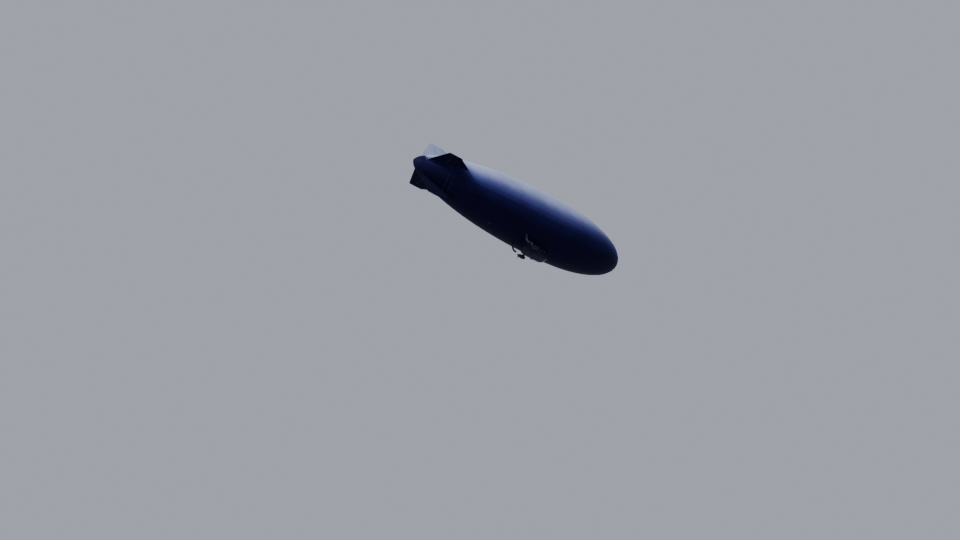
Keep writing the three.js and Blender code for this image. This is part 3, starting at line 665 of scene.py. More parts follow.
def swept(path, outline, up=(0, 0, 1), closed=False, swell=None):
    # an outline carried along a path, its first axis across the path and its second towards up
    path = np.asarray(path, float)
    tangent = unit(np.roll(path, -1, 0) - np.roll(path, 1, 0) if closed else np.gradient(path, axis=0))
    across = unit(np.cross(tangent, np.asarray(up, float)))
    lift = np.cross(across, tangent)
    outline = np.asarray(outline, float)[None] * (1 if swell is None else np.asarray(swell)[:, None, None])
    points = path[:, None] + outline[..., :1] * across[:, None] + outline[..., 1:] * lift[:, None]
    return gridPart(points, closeRows=closed, capEnds=not closed)


def straight(start, end, count=2):
    share = np.linspace(0, 1, count)[:, None]
    return np.asarray(start, float) * (1 - share) + np.asarray(end, float) * share


def rod(start, end, radius, sides=12, up=(0, 0, 1)):
    return swept(straight(start, end), circle(radius, sides), up)


def plate(outline, low, high, bevel=0.002):
    # a convex outline in X and Y between two heights, with its edges eased
    outline = np.asarray(outline, float)
    middle = outline.mean(0)
    reach = np.linalg.norm(outline - middle, axis=1).mean()
    inner = middle + (outline - middle) * (1 - bevel / reach)
    levels = [(inner, low), (outline, low + bevel), (outline, high - bevel), (inner, high)]
    rings = [np.column_stack([line, np.full(len(line), z)]) for line, z in levels]
    return gridPart(np.stack(rings), capEnds=True)


def dressedCopy(node, name, material, body, bevel=0.0015, sharp=32, cuts=(), shape=None):
    # a carried-over solid with its facets merged, its smooth corners shaded round and its edges eased;
    # where it has a shape to take, it is first cut across at several x
    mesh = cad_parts[node].data.copy()
    mesh.name = name
    work = bmesh.new()
    work.from_mesh(mesh)
    bmesh.ops.remove_doubles(work, verts=work.verts, dist=1e-5)
    bmesh.ops.dissolve_limit(work, angle_limit=math.radians(0.6), verts=work.verts, edges=work.edges)
    for x in cuts:
        every = work.verts[:] + work.edges[:] + work.faces[:]
        bmesh.ops.bisect_plane(work, geom=every, dist=1e-6, plane_co=(x, 0, 0), plane_no=(1, 0, 0))
    for face in work.faces:
        face.smooth = True
    work.to_mesh(mesh)
    work.free()
    if shape:
        points = np.empty(len(mesh.vertices) * 3)
        mesh.vertices.foreach_get("co", points)
        mesh.vertices.foreach_set("co", shape(points.reshape(-1, 3)).ravel())
    mesh.set_sharp_from_angle(angle=math.radians(sharp))
    piece = finishPiece(newObject(name, mesh), body, material, [node])
    eased = piece.modifiers.new("eased", "BEVEL")
    eased.width = bevel
    eased.segments = 2
    eased.limit_method = "ANGLE"
    eased.angle_limit = math.radians(sharp)
    eased.harden_normals = True


# Envelope

hull = dict(
    noseX=13.463,
    tailX=-15.787,
    widestX=1.617,
    radius=3.5,
    nosePower=2.5,
    tailPower=2.1,
    tailTaper=0.6,
    noseHole=0.25,  # radii of the two ends, which the dish and the cap close
    tailHole=0.20,
    gores=clothSettings["gores"],
    perGore=6,
    noseRows=110,
    tailRows=150,
    wall=0.010,
    scallop=0.011,  # how far a gore swells between its seams
    curtainTurn=34,  # degrees from the bottom to each load curtain
    curtainPull=0.016,
    curtainWidth=0.16,
    curtainSpan=(-6.5, 8.5),
    innerStep=12,  # the wall's inner face has one row for so many outer ones
)


def hullRadius(x):
    # an ellipse-like nose and a longer tail that runs out to a point, joined where the hull is widest
    h = hull
    ahead = np.clip((x - h["widestX"]) / (h["noseX"] - h["widestX"]), 0, 1)
    behind = np.clip((h["widestX"] - x) / (h["widestX"] - h["tailX"]), 0, 1)
    nose = np.sqrt(1 - ahead ** h["nosePower"])
    tail = (1 - behind ** h["tailPower"]) ** h["tailTaper"]
    return h["radius"] * np.where(np.asarray(x) > h["widestX"], nose, tail)


def noseWhere(radius):
    # the x at which the nose has this radius
    h = hull
    return h["widestX"] + (h["noseX"] - h["widestX"]) * (1 - (radius / h["radius"]) ** 2) ** (1 / h["nosePower"])


def hullPlaces(fromX, toX, count):
    # places from fromX to toX, evenly spaced along the hull's own line
    fineX = fromX + (toX - fromX) * (1 - np.cos(np.linspace(0, np.pi, 2000))) / 2
    length = lengthAlong(np.stack([fineX, hullRadius(fineX)], -1))
    return np.interp(np.linspace(0, length[-1], count), length, fineX)


def hullOffset(x, distance):
    # points (x, radius) that stand off from the hull's line
    step = 1e-4
    slope = (hullRadius(x + step) - hullRadius(x - step)) / (2 * step)
    size = np.hypot(1, slope)
    return x - slope / size * distance, hullRadius(x) + distance / size


def envelopePoints(h):
    # radius at x and angle: the hull's line, swelling as a parabola across each gore and drawn in along both curtains
    tailShare = (1 - (h["tailHole"] / h["radius"]) ** (1 / h["tailTaper"])) ** (1 / h["tailPower"])
    towardsTail = np.cos(np.linspace(0, np.pi / 2, h["tailRows"], endpoint=False))
    towardsNose = np.sin(np.linspace(0, np.pi / 2, h["noseRows"]))
    behind = h["widestX"] - (h["widestX"] - h["tailX"]) * tailShare * towardsTail
    ahead = h["widestX"] + (noseWhere(h["noseHole"]) - h["widestX"]) * towardsNose
    x = np.concatenate([behind, ahead])
    columns = h["gores"] * h["perGore"]
    angle = turnsOf(columns)
    across = (np.arange(columns) % h["perGore"]) / h["perGore"]
    radius = hullRadius(x)[:, None]
    fullness = radius / h["radius"]
    outer = radius - h["scallop"] * fullness * (2 * across - 1) ** 2
    first, last = h["curtainSpan"]
    middle, half = (first + last) / 2, (last - first) / 2
    reach = np.clip(1 - ((x - middle) / half) ** 4, 0, 1)[:, None]
    for side in (1, -1):
        fromCurtain = (angle - np.pi + side * math.radians(h["curtainTurn"])) * radius
        outer = outer - h["curtainPull"] * reach * np.exp(-((fromCurtain / h["curtainWidth"]) ** 2))
    innerX = x[:: -h["innerStep"]]
    inner = np.repeat((hullRadius(innerX) - h["wall"] - h["scallop"] - 0.02)[:, None], columns, 1)
    points = np.vstack([outer, inner])[..., None] * aboutX(angle)
    points[..., 0] = np.concatenate([x, innerX])[:, None]
    return points


makePiece("envelope_skin", [gridPart(envelopePoints(hull), closeRows=True)], "ship", "envelopeCloth", ["envelope"])

# Nose dish, spindle and battens

bow = dict(
    dishRadius=0.52,
    plate=0.012,  # the dish's thickness
    battens=16,
    battenLength=1.9,
    battenWidth=0.055,
    battenHeight=0.020,
    ringWidth=0.06,
    laceSpacing=0.16,
    # the line of a lace over a batten: across and up
    lace=((-0.045, -0.008), (-0.031, 0.008), (-0.022, 0.0125), (0.022, 0.0125), (0.031, 0.008), (0.045, -0.008)),
    laceRadius=0.0035,
)


def ridgePath(fromX, toX, count, height):
    x, z = hullOffset(hullPlaces(fromX, toX, count), height)
    return np.stack([x, np.zeros(count), z], -1)


dishBackX = noseWhere(bow["dishRadius"])
dishX = hullPlaces(dishBackX, hull["noseX"] - 0.0012, 26)
dishOuter = np.stack(hullOffset(dishX, bow["plate"]), -1)
dishOuter = dishOuter[dishOuter[:, 0] < hull["noseX"] + bow["plate"] - 0.0005]
dishFace = hull["noseX"] + bow["plate"]
dishInner = np.stack(hullOffset(dishX[:10], 0.001), -1)
dishRing = np.array([[dishFace, 0.15], [dishFace, 0.10], [dishFace, 0.02]])
backPlate = np.array([[hull["noseX"] + 0.001, 0.02], [hull["noseX"] + 0.001, 0.2]])
dishLine = np.vstack([dishOuter, dishRing, backPlate, dishInner[::-1]])
bolt = plate(circle(0.011, 6), 0, 0.007, 0.001)


def boltsOnNose(count, radiusOut, headX, size=1.0):
    turned = moved(bolt, Matrix.Rotation(math.radians(90), 4, "Y") @ Matrix.Scale(size, 4))
    return [shifted(turned, headX, y, z) for x, y, z in aboutX(turnsOf(count)) * radiusOut]


makePiece(
    "nose_dish_skin",
    [roundX(dishLine, 96, closed=True)] + boltsOnNose(12, 0.20, dishFace - 0.001),
    "ship",
    "carPaint",
    ["nose_dish"],
)

ringFrontX = dishBackX - bow["plate"] - 0.008
ringX = hullPlaces(ringFrontX - bow["ringWidth"], ringFrontX, 6)
ringOuter = np.stack(hullOffset(ringX, bow["battenHeight"]), -1)
ringInner = np.stack(hullOffset(ringX, 0.001), -1)
battenPath = ridgePath(ringFrontX - bow["battenLength"], ringFrontX - 0.02, 40, bow["battenHeight"] / 2 + 0.001)
battenShare = np.linspace(0, 1, len(battenPath))
battenSwell = np.sqrt(1 - (1 - np.clip(battenShare / 0.03, 0, 1)) ** 2 * 0.9)
batten = swept(battenPath, roundedBox(bow["battenWidth"], bow["battenHeight"], 0.008), swell=battenSwell)
laceCount = int(bow["battenLength"] / bow["laceSpacing"])
laces = []
for k in range(laceCount):
    spot = battenPath[int((k + 0.7) / laceCount * (len(battenPath) - 1))]
    lace = curveThrough([(spot[0], y, spot[2] + z) for y, z in bow["lace"]], 12)
    laces.append(swept(lace, circle(bow["laceRadius"], 6), (1, 0, 0)))
battenTurns = [k * 360 / bow["battens"] for k in range(bow["battens"])]
makePiece(
    "nose_batten_strips",
    [roundX(np.vstack([ringOuter, ringInner[::-1]]), 96, closed=True)] + [turnedPart(batten, t) for t in battenTurns],
    "ship",
    "envelopeCloth",
    ["nose_battens"],
)
makePiece(
    "nose_batten_lacing",
    [turnedPart(lace, t) for t in battenTurns for lace in laces],
    "ship",
    "patchCloth",
)

spindle = dict(
    start=dishFace + 0.0003,
    # length and radius: the flange, the body, the neck that the mast grips, and the head
    line=((0.0, 0.108), (0.002, 0.11), (0.018, 0.11), (0.020, 0.107), (0.024, 0.082), (0.040, 0.064), (0.046, 0.06),
          (0.118, 0.06), (0.128, 0.048), (0.138, 0.038), (0.166, 0.038), (0.178, 0.048), (0.188, 0.06), (0.236, 0.06),
          (0.239, 0.057), (0.24, 0.054)),
)
makePiece(
    "mooring_spindle_skin",
    [shifted(roundX(spindle["line"], 48), spindle["start"], 0, 0)]
    + boltsOnNose(8, 0.092, spindle["start"] + 0.020, 0.9),
    "ship",
    "bareMetal",
    ["mooring_spindle"],
)

# Tail cap with the stern plate

capSettings = dict(thick=0.012, inside=0.02, rows=40)
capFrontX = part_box("tail_cap")[1].x
capFace = hull["tailX"] - capSettings["thick"]
capX = hullPlaces(hull["tailX"] + capSettings["inside"], capFrontX, capSettings["rows"])
capOuter = np.stack(hullOffset(capX, capSettings["thick"]), -1)
capOuter = capOuter[capOuter[:, 0] > capFace + 0.004]
capInner = np.stack(hullOffset(capX[8:], 0.001), -1)
capPlate = [(capX[0], 0.03), (capFace, 0.03), (capFace, 0.115), (capFace + 0.003, 0.125)]
capLine = np.vstack([capPlate, capOuter, capInner[::-1]])
makePiece("tail_cap_skin", [roundX(capLine, 96, closed=True)], "ship", "envelopeCloth", ["tail_cap"])
print("envelope and its ends are made")

# Fins and flaps

tail = dict(
    rootRadius=1.5,
    frontX=-10.09,
    frontRadius=2.4,
    sweep=1.82,
    shoulder=0.15,
    chamfer=0.35,
    flapBack=(-14.84, -13.65),  # the trailing edge at 1 m and at 3.5 m from the axis
    flapChamfer=0.12,
    halfThickness=0.075,
    taper=0.45,
    tipThickness=0.95,  # how far the thickness closes towards the tip, as the sine of an angle
    hingeX=-13.0,
    backX=-12.92,
    skinBackX=-12.966,  # as near the swinging nose of the flap as it can come
    flapFrontX=-12.98,
    notchX=-13.048,
    lugs=(0.2, 0.52, 0.84),
    lugHalf=0.012,
    lugReach=0.12,
    lugRound=0.025,
    pinRadius=0.012,
    pinHalf=0.042,
    hullGap=0.05,
    flapRoot=0.9,
    ribSpacing=finCloth["ribSpacing"],
    sag=0.0035,
    flare=0.045,
    flareReach=0.05,
    chordPoints=34,
)
# tints: pale (1) or navy (0) on the two faces; navy on faces that look down and on the lower fin is painted shade
finTable = [
    dict(fin="fin_dorsal", flap="rudder_upper", body="upper_rudder", turn=0, tip=3.5, tints=(1, 1)),
    dict(fin="fin_starboard", flap="elevator_starboard", body="starboard_elevator", turn=90, tip=3.5, tints=(1, 0)),
    dict(fin="fin_ventral", flap="rudder_lower", body="lower_rudder", turn=180, tip=3.2, tints=(0, 0)),
    dict(fin="fin_port", flap="elevator_port", body="port_elevator", turn=270, tip=3.5, tints=(0, 1)),
]


def finFront(rho):
    return tail["frontX"] - (rho - tail["frontRadius"]) * tail["sweep"]


def flapBack(rho):
    near, far = tail["flapBack"]
    return near + (far - near) * (rho - 1.0) / 2.5


def finHalf(rho):
    return tail["halfThickness"] * (1 - tail["taper"] * (rho - 1.5) / 2.0)


def finThickness(share):
    # an elliptic nose over the first quarter, flat to the rear spar, then easing to 0.8
    nose = np.sqrt(np.clip(1 - ((0.25 - share) / 0.25) ** 2, 0, 1))
    rear = 1 - 0.2 * np.clip((share - 0.6) / 0.4, 0, 1) ** 1.5
    return np.where(share < 0.25, nose, rear)


def flapThickness(share):
    # a round nose, then a taper to a thin trailing edge
    nose = np.sqrt(1 - np.clip((0.05 - share) / 0.05, 0, 1) ** 2)
    return nose * (0.8 - 0.70 * share**1.15)


def wingGrid(rho, front, back, half, thickness):
    # at each distance out a closed loop of chord points, down one side and back up the other
    count = tail["chordPoints"]
    share = (1 - np.cos(np.linspace(0, np.pi, count))) / 2
    share = np.concatenate([share, share[-1:0:-1]])
    side = np.concatenate([np.ones(count), -np.ones(count - 1)])
    x = front[:, None] + (back - front)[:, None] * share
    y = half[:, None] * thickness(share) - ribSag(rho[:, None], share[None])
    return x, y * side, np.repeat(rho[:, None], len(share), 1), side


def ribSag(rho, share):
    # cloth sinks between ribs, and not at the spars or edges
    between = np.abs(np.sin(np.pi * rho / tail["ribSpacing"])) ** 0.8
    bays = np.abs(np.sin(np.pi * np.clip((share - 0.03) / 0.94, 0, 1))) ** 0.5
    return tail["sag"] * between * bays


def roundTip(rho, tip):
    # 0 up to the shoulder and 1 at the tip
    return np.clip((rho - (tip - tail["shoulder"])) / tail["shoulder"], 0, 1)


def spanRows(root, tip, extra=()):
    body = np.arange(root, tip - tail["shoulder"], tail["ribSpacing"] / 7)
    end = tip - tail["shoulder"] + tail["shoulder"] * np.sin(np.linspace(0, np.pi / 2, 10))
    return np.unique(np.concatenate([body, end, extra]))


def flareOf(x, rho):
    # the fillet where the fin meets the envelope
    off = rho - hullRadius(x)
    return tail["flare"] * np.exp(-np.clip(off, 0, None) / tail["flareReach"])


def tipCurl(rho, tip):
    # how far the leading and trailing edges draw in over the tip, as a quarter circle from 0 to 1
    return 1 - np.sqrt(1 - roundTip(rho, tip) ** 2)


def tipHalf(rho, tip):
    return finHalf(rho) * np.sqrt(1 - (tail["tipThickness"] * roundTip(rho, tip)) ** 2)


def lugRadii(tip):
    root = float(hullRadius(tail["hingeX"])) + tail["hullGap"]
    return [root + (tip - root) * share for share in tail["lugs"]]


def finPart(tip):
    rho = spanRows(tail["rootRadius"], tip)
    front = finFront(np.minimum(rho, tip - tail["shoulder"])) - tail["chamfer"] * tipCurl(rho, tip)
    back = np.full(len(rho), tail["skinBackX"])
    x, y, z, side = wingGrid(rho, front, back, tipHalf(rho, tip), finThickness)
    y = y + side * flareOf(x, z) * (np.abs(y) / 0.07) ** 0.5
    return gridPart(np.stack([x, y, z], -1), capEnds=True), side


def flapPart(tip):
    lugs = lugRadii(tip)
    reach = tail["lugHalf"] + 0.0005
    edges = [lug + sign * (reach + gap) for lug in lugs for sign in (-1, 1) for gap in (0, 0.0001)]
    rho = spanRows(tail["flapRoot"], tip, edges)
    back = flapBack(rho) + tail["flapChamfer"] * tipCurl(rho, tip)
    front = np.full(len(rho), tail["flapFrontX"])
    x, y, z, side = wingGrid(rho, front, back, tipHalf(rho, tip), flapThickness)
    # the foot follows the envelope: points lower than the gap allows are lifted to it, each row a trifle more
    foot = hullRadius(np.maximum(x, hull["tailX"])) + tail["hullGap"] + 0.0001 * (z - tail["flapRoot"])
    z = np.maximum(z, foot)
    inNotch = np.min([np.abs(rho - lug) for lug in lugs], axis=0) < reach + 0.00005
    x = np.where(inNotch[:, None], np.minimum(x, tail["notchX"]), x)
    return gridPart(np.stack([x, y, z], -1), capEnds=True), side


def clothMap(part, side, tints):
    # where each point lies along and out on the fin, and how pale its cloth is; its navy is painted shade
    points, faces = part
    uv = points[:, [0, 2]].copy()
    rows = (len(points) - 2) // len(side)
    pale = np.where(np.tile(side, rows) > 0, tints[0], tints[1])
    pale = np.concatenate([pale, [tints[0], tints[0]]])
    return uv, pale


def lugPart(rho):
    # a plate with a round nose about the pin
    back, half = tail["lugReach"], tail["lugRound"]
    angle = np.linspace(np.pi / 2, 3 * np.pi / 2, 13)
    nose = np.stack([-0.003 + half * np.cos(angle), half * np.sin(angle)], -1)
    outline = np.vstack([nose, [[back, -half], [back, half]]])
    return shifted(plate(outline, -tail["lugHalf"], tail["lugHalf"]), tail["hingeX"], 0, rho)


def pinPart(rho):
    low, high = ((tail["hingeX"], 0, rho + side * tail["pinHalf"]) for side in (-1, 1))
    return rod(low, high, tail["pinRadius"], 16, (1, 0, 0))


for row in finTable:
    for node, body, build in ((row["fin"], "ship", finPart), (row["flap"], row["body"], flapPart)):
        part, side = build(row["tip"])
        uv, pale = clothMap(part, side, row["tints"])
        makePiece(node + "_skin", [turnedPart(part, row["turn"])], body, "finCloth", [node], uv=uv, tint=pale)
    radii = lugRadii(row["tip"])
    makePiece(row["fin"] + "_lugs", [turnedPart(lugPart(rho), row["turn"]) for rho in radii], "ship", "greyPaint")
    makePiece(row["flap"] + "_pins", [turnedPart(pinPart(rho), row["turn"]) for rho in radii], row["body"], "wireMetal")
print("fins and flaps are made")

# Main stays with their patches

stay = dict(
    drop=0.25,  # from the fin's tip to the stay's head
    wire=0.004,
    patchX=(-12.38, -11.43),
    patchWidth=0.11,
    patchHeight=0.014,
    footX=(-11.6, -12.2),
    shares=(0.25, 0.6),
    screwAt=0.86,  # where the turnbuckle starts, as a share of the wire
    screwLength=0.14,
    screwRadius=0.011,
    padRadius=0.022,
    knobRadius=0.008,
)


def stayParts(tip, side):
    rho = tip - stay["drop"]
    front = finFront(rho)
    wires, pads = [], []
    for share, footX in zip(stay["shares"], stay["footX"]):
        skin = np.array([front + (tail["backX"] - front) * share, side * float(finHalf(rho)), rho])
        out = float(hullRadius(footX)) + stay["patchHeight"] / 2
        foot = np.array([footX, side * out / math.sqrt(2), out / math.sqrt(2)])
        rise = np.array([0, side, 0])
        pads.append(rod(skin - rise * 0.002, skin + rise * 0.010, stay["padRadius"], 20, (1, 0, 0)))
        pads.append(rod(skin, skin + rise * 0.018, stay["knobRadius"], 10, (1, 0, 0)))
        head = skin + rise * 0.012
        along = foot - head
        wires.append(rod(head, foot, stay["wire"], 8))
        screwEnd = stay["screwAt"] + stay["screwLength"] / np.linalg.norm(along)
        path = straight(head + along * stay["screwAt"], head + along * screwEnd, 6)
        wires.append(swept(path, circle(stay["screwRadius"], 10), swell=[0.4, 0.95, 1, 1, 0.95, 0.4]))
    return wires + pads


def patchPart():
    path = ridgePath(*stay["patchX"], 24, stay["patchHeight"] / 2 - 0.001)
    share = np.linspace(-1, 1, len(path))
    swell = np.sqrt(1 - 0.93 * share**6)
    return swept(path, roundedBox(stay["patchWidth"], stay["patchHeight"], 0.006), swell=swell)


stayNames = ["stays_upper_starboard", "stays_lower_starboard", "stays_lower_port", "stays_upper_port"]
for i, name in enumerate(stayNames):
    first, second = finTable[i], finTable[(i + 1) % 4]
    metal = [turnedPart(part, first["turn"]) for part in stayParts(first["tip"], -1)]
    metal += [turnedPart(part, first["turn"] + 90) for part in stayParts(second["tip"], 1)]
    makePiece(name + "_wires", metal, "ship", "wireMetal", [name])
    makePiece(name + "_patch", [turnedPart(patchPart(), first["turn"] + 45)], "ship", "envelopeCloth")
print("stays are made")

# Valves and the top beacon

valves = [
    dict(name="air_valve_fore", x=6.2, turn=180),
    dict(name="air_valve_aft", x=-5.2, turn=180),
    dict(name="gas_valve", x=3.6, turn=112.5),
]
valve = dict(
    # height, and how far the line lies inside the rim's edge
    rim=((-0.03, 0.002), (0.016, 0.002), (0.02, 0.006), (0.02, 0.03), (0.036, 0.036), (0.038, 0.042), (0.038, 0.05),
         (-0.03, 0.056)),
    cover=((-0.03, 0.1), (0.012, 0.1), (0.022, 0.096), (0.032, 0.06), (0.034, 0.02)),
    hub=((0.02, 0.032), (0.038, 0.032), (0.042, 0.026), (0.042, 0.008)),
    ribs=8,
    screws=16,
)
beacon = dict(
    lens=((0.022, 0.052), (0.05, 0.052), (0.066, 0.044), (0.077, 0.03), (0.083, 0.012)),
    base=((-0.02, 0.06), (0.018, 0.06), (0.022, 0.056), (0.022, 0.02)),
)


def upright(part, x, turn):
    # a part made about the Z axis, stood on the hull at x and turned about it
    return turnedPart(shifted(part, x, 0, float(hullRadius(x))), turn)


def roundZ(profile, sides, closed=False):
    # a line of (height, radius) pairs turned about the Z axis
    points, faces = roundX(profile, sides, closed)
    return points[:, [1, 2, 0]], faces


def allRound(part, count):
    # copies of a part at even steps about the Z axis
    return [moved(part, Matrix.Rotation(2 * math.pi * k / count, 4, "Z")) for k in range(count)]


def valveParts(v, radius):
    rim = roundZ([(height, radius - inside) for height, inside in v["rim"]], 48, closed=True)
    rib = shifted(plate(roundedBox(radius * 0.72, 0.012, 0.005), 0.026, 0.038), radius * 0.36, 0, 0)
    screw = shifted(plate(circle(0.007, 6), 0.018, 0.026, 0.001), radius - 0.017, 0, 0)
    middle = [roundZ(v["cover"], 40), roundZ(v["hub"], 24)]
    return [rim] + middle + allRound(rib, v["ribs"]) + allRound(screw, v["screws"])


for row in valves:
    low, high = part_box(row["name"])
    parts = [upright(part, row["x"], row["turn"]) for part in valveParts(valve, (high.x - low.x) / 2)]
    makePiece(row["name"] + "_skin", parts, "ship", "carPaint", [row["name"]])
for name, material, nodes in (("lens", "redLamp", ["beacon_top"]), ("base", "greyPaint", ())):
    makePiece("beacon_" + name, [upright(roundZ(beacon[name], 40), hull["widestX"], 0)], "ship", material, nodes)

# Car panels: carried over with eased edges, and with a smooth outline where the solid's is ruled between sections

carShape = dict(
    x=(-0.56, -0.25, 0.10, 2.10, 2.40, 2.68, 2.86, 2.94),
    halfWidth=(0.260, 0.450, 0.533, 0.533, 0.520, 0.450, 0.330, 0.190),
    bottom=(-4.52, -4.66, -4.72, -4.72, -4.69, -4.61, -4.50, -4.38),
    top=(-3.56, -3.56, -3.56, -3.56, -3.57, -3.64, -3.76, -3.86),
    steps=5,  # cuts in each stretch between two sections, but none in the straight one, the longest
    longest=1,
)


def easedLine(knots, values, at):
    # a cubic line through the knots; the slope at a knot is the harmonic mean of the slopes on both sides, and
    # 0 where one of them is 0, so the line never overshoots
    knots, values = np.asarray(knots), np.asarray(values)
    gap = np.diff(knots)
    slope = np.diff(values) / gap
    product = slope[1:] * slope[:-1]
    inner = np.where(product > 0, 2 * product / np.where(product > 0, slope[1:] + slope[:-1], 1), 0)
    tangent = np.concatenate([[1.5 * slope[0] - 0.5 * inner[0]], inner, [1.5 * slope[-1] - 0.5 * inner[-1]]])
    i = np.clip(np.searchsorted(knots, at) - 1, 0, len(gap) - 1)
    t = (at - knots[i]) / gap[i]
    start = (1 + 2 * t) * (1 - t) ** 2 * values[i] + t * (1 - t) ** 2 * gap[i] * tangent[i]
    return start + t**2 * (3 - 2 * t) * values[i + 1] + t**2 * (t - 1) * gap[i] * tangent[i + 1]


def roundedCar(points):
    # y grows with the ratio of the smooth half width to the ruled one, and z keeps its share between bottom and top
    x = np.clip(points[:, 0], carShape["x"][0], carShape["x"][-1])
    smooth, ruled = [], []
    for key in ("halfWidth", "bottom", "top"):
        smooth.append(easedLine(carShape["x"], carShape[key], x))
        ruled.append(np.interp(x, carShape["x"], carShape[key]))
    y = points[:, 1] * smooth[0] / ruled[0]
    share = (points[:, 2] - ruled[1]) / (ruled[2] - ruled[1])
    return np.stack([points[:, 0], y, smooth[1] + share * (smooth[2] - smooth[1])], -1)


stretches = [(a, b) for a, b in zip(carShape["x"][:-1], carShape["x"][1:]) if b - a < carShape["longest"]]
carCuts = np.unique([np.linspace(a, b, carShape["steps"] + 1) for a, b in stretches])[1:-1]
for name in ("roof_panel", "floor_pan", "side_port_panel", "side_starboard_panel", "nose_panel", "tail_panel"):
    dressedCopy("car_" + name.rpartition("_")[0], "car_" + name, "carPaint", "ship", cuts=carCuts, shape=roundedCar)
carriedOver = [
    ("car_fairing", "car_fairing_skirt", "carPaint", "ship"),
    ("instrument_panel", "instrument_desk", "cabinTrim", "ship"),
    ("landing_fork", "landing_fork_casting", "greyPaint", "fork"),
    ("engine_block_port", "engine_port", "engineMetal", "ship"),
    ("engine_block_starboard", "engine_starboard", "engineMetal", "ship"),
    ("passenger_door", "passenger_door_panel", "carPaint", "door"),
]
for row in carriedOver:
    dressedCopy(*row)
panes = ["windscreen", "window_tail", "windows_port", "windows_starboard_fore", "windows_starboard_aft", "door_glass"]
for name in panes:
    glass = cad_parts[name]
    glass.data.materials.clear()
    glass.data.materials.append(materials["glazing"])
print("car is made")

# Small repeated parts and rays onto the car

def repeated(part, places, normals, turns=0.0):
    # a part made about Z, set on each place along its own or the one shared normal, all worked out at once
    points, faces = part
    places = np.asarray(places, float)
    normals = unit(np.broadcast_to(np.asarray(normals, float), places.shape))
    aside = np.cross((1.0, 0.0, 0.0), normals)
    flat = np.linalg.norm(aside, axis=1) < 0.1
    aside[flat] = np.cross((0.0, 1.0, 0.0), normals[flat])
    aside = unit(aside)
    ahead = np.cross(aside, normals)
    turn = np.broadcast_to(np.asarray(turns, float), len(places))[:, None]
    first = aside * np.cos(turn) + ahead * np.sin(turn)
    axes = np.stack([first, np.cross(normals, first), normals], 1)
    made = places[:, None] + np.einsum("pk,nkc->npc", points, axes)
    shift = np.arange(len(places))[:, None, None] * len(points)
    return made.reshape(-1, 3), np.where(faces[None] < 0, -1, faces[None] + shift).reshape(-1, 4)


def dome(radius, height=0.5, sides=8):
    # a rivet's head: four rings that close in as they rise
    rings = [(-0.3, 1.0), (0.3, 0.96), (0.75, 0.66), (0.95, 0.25)]
    return roundZ([(radius * height * lift, radius * wide) for lift, wide in rings], sides)


def surfaceOf(*nodes):
    # a tree for rays over some carried-over solids
    work = bmesh.new()
    for node in nodes:
        work.from_mesh(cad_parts[node].data)
    tree = BVHTree.FromBMesh(work)
    work.free()
    return tree


def dropOn(tree, points, way):
    # where rays that come in along way meet the surface, with the normals there
    way = Vector(way)
    hits = [tree.ray_cast(Vector(p) - way * 2.0, way) for p in points]
    found = [(hit, normal) for hit, normal, index, distance in hits if hit is not None]
    return np.array([h for h, n in found]), np.array([n for h, n in found])


# Engines

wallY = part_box("car_side_port")[1].y
engineLow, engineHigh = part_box("engine_cowling_port")
engine = dict(
    mark=engineHigh.x - 0.62,  # lengths along the engine are measured from here
    y=(engineLow.y + engineHigh.y) / 2,
    z=(engineLow.z + engineHigh.z) / 2,
)
atShaft = (engine["mark"], engine["y"], engine["z"])
cowl = dict(
    outside=((-0.30, 0.105), (-0.20, 0.157), (-0.10, 0.188), (0.10, 0.204), (0.30, 0.204), (0.46, 0.190),
             (0.56, 0.166), (0.60, 0.140)),
    lipMiddle=(0.600, 0.1175),
    lipReach=(0.020, 0.0225),
    inside=((0.56, 0.095), (0.53, 0.150), (0.30, 0.190), (-0.10, 0.175), (-0.285, 0.095), (-0.288, 0.042),
            (-0.300, 0.042)),
    grooves=(-0.13, 0.10, 0.45),
    grooveDepth=0.003,
    grooveWidth=0.0032,
    rivet=0.0042,
    rivetsRound=48,
    rivetGap=0.018,  # from a groove to the rivet rows on both sides
    frontRivets=0.575,
    seam=(-0.26, 0.56),
    latches=(-0.06, 0.02, 0.17, 0.27, 0.37),
    louvres=(0.16, 0.19, 0.22, 0.25, 0.28, 0.31),
    louvreTurns=(118, 242),
)


def cowlRadius(x):
    line = curveThrough(cowl["outside"], 300)
    return np.interp(x, line[:, 0], line[:, 1])


def onCowl(part, places, normal):
    # a part turned lengthways at several places in a row along the cowling
    places = np.array(places)
    points = cowlRadius(places)[:, None] * normal
    points[:, 0] = places
    return repeated(part, points, normal, np.pi / 2)


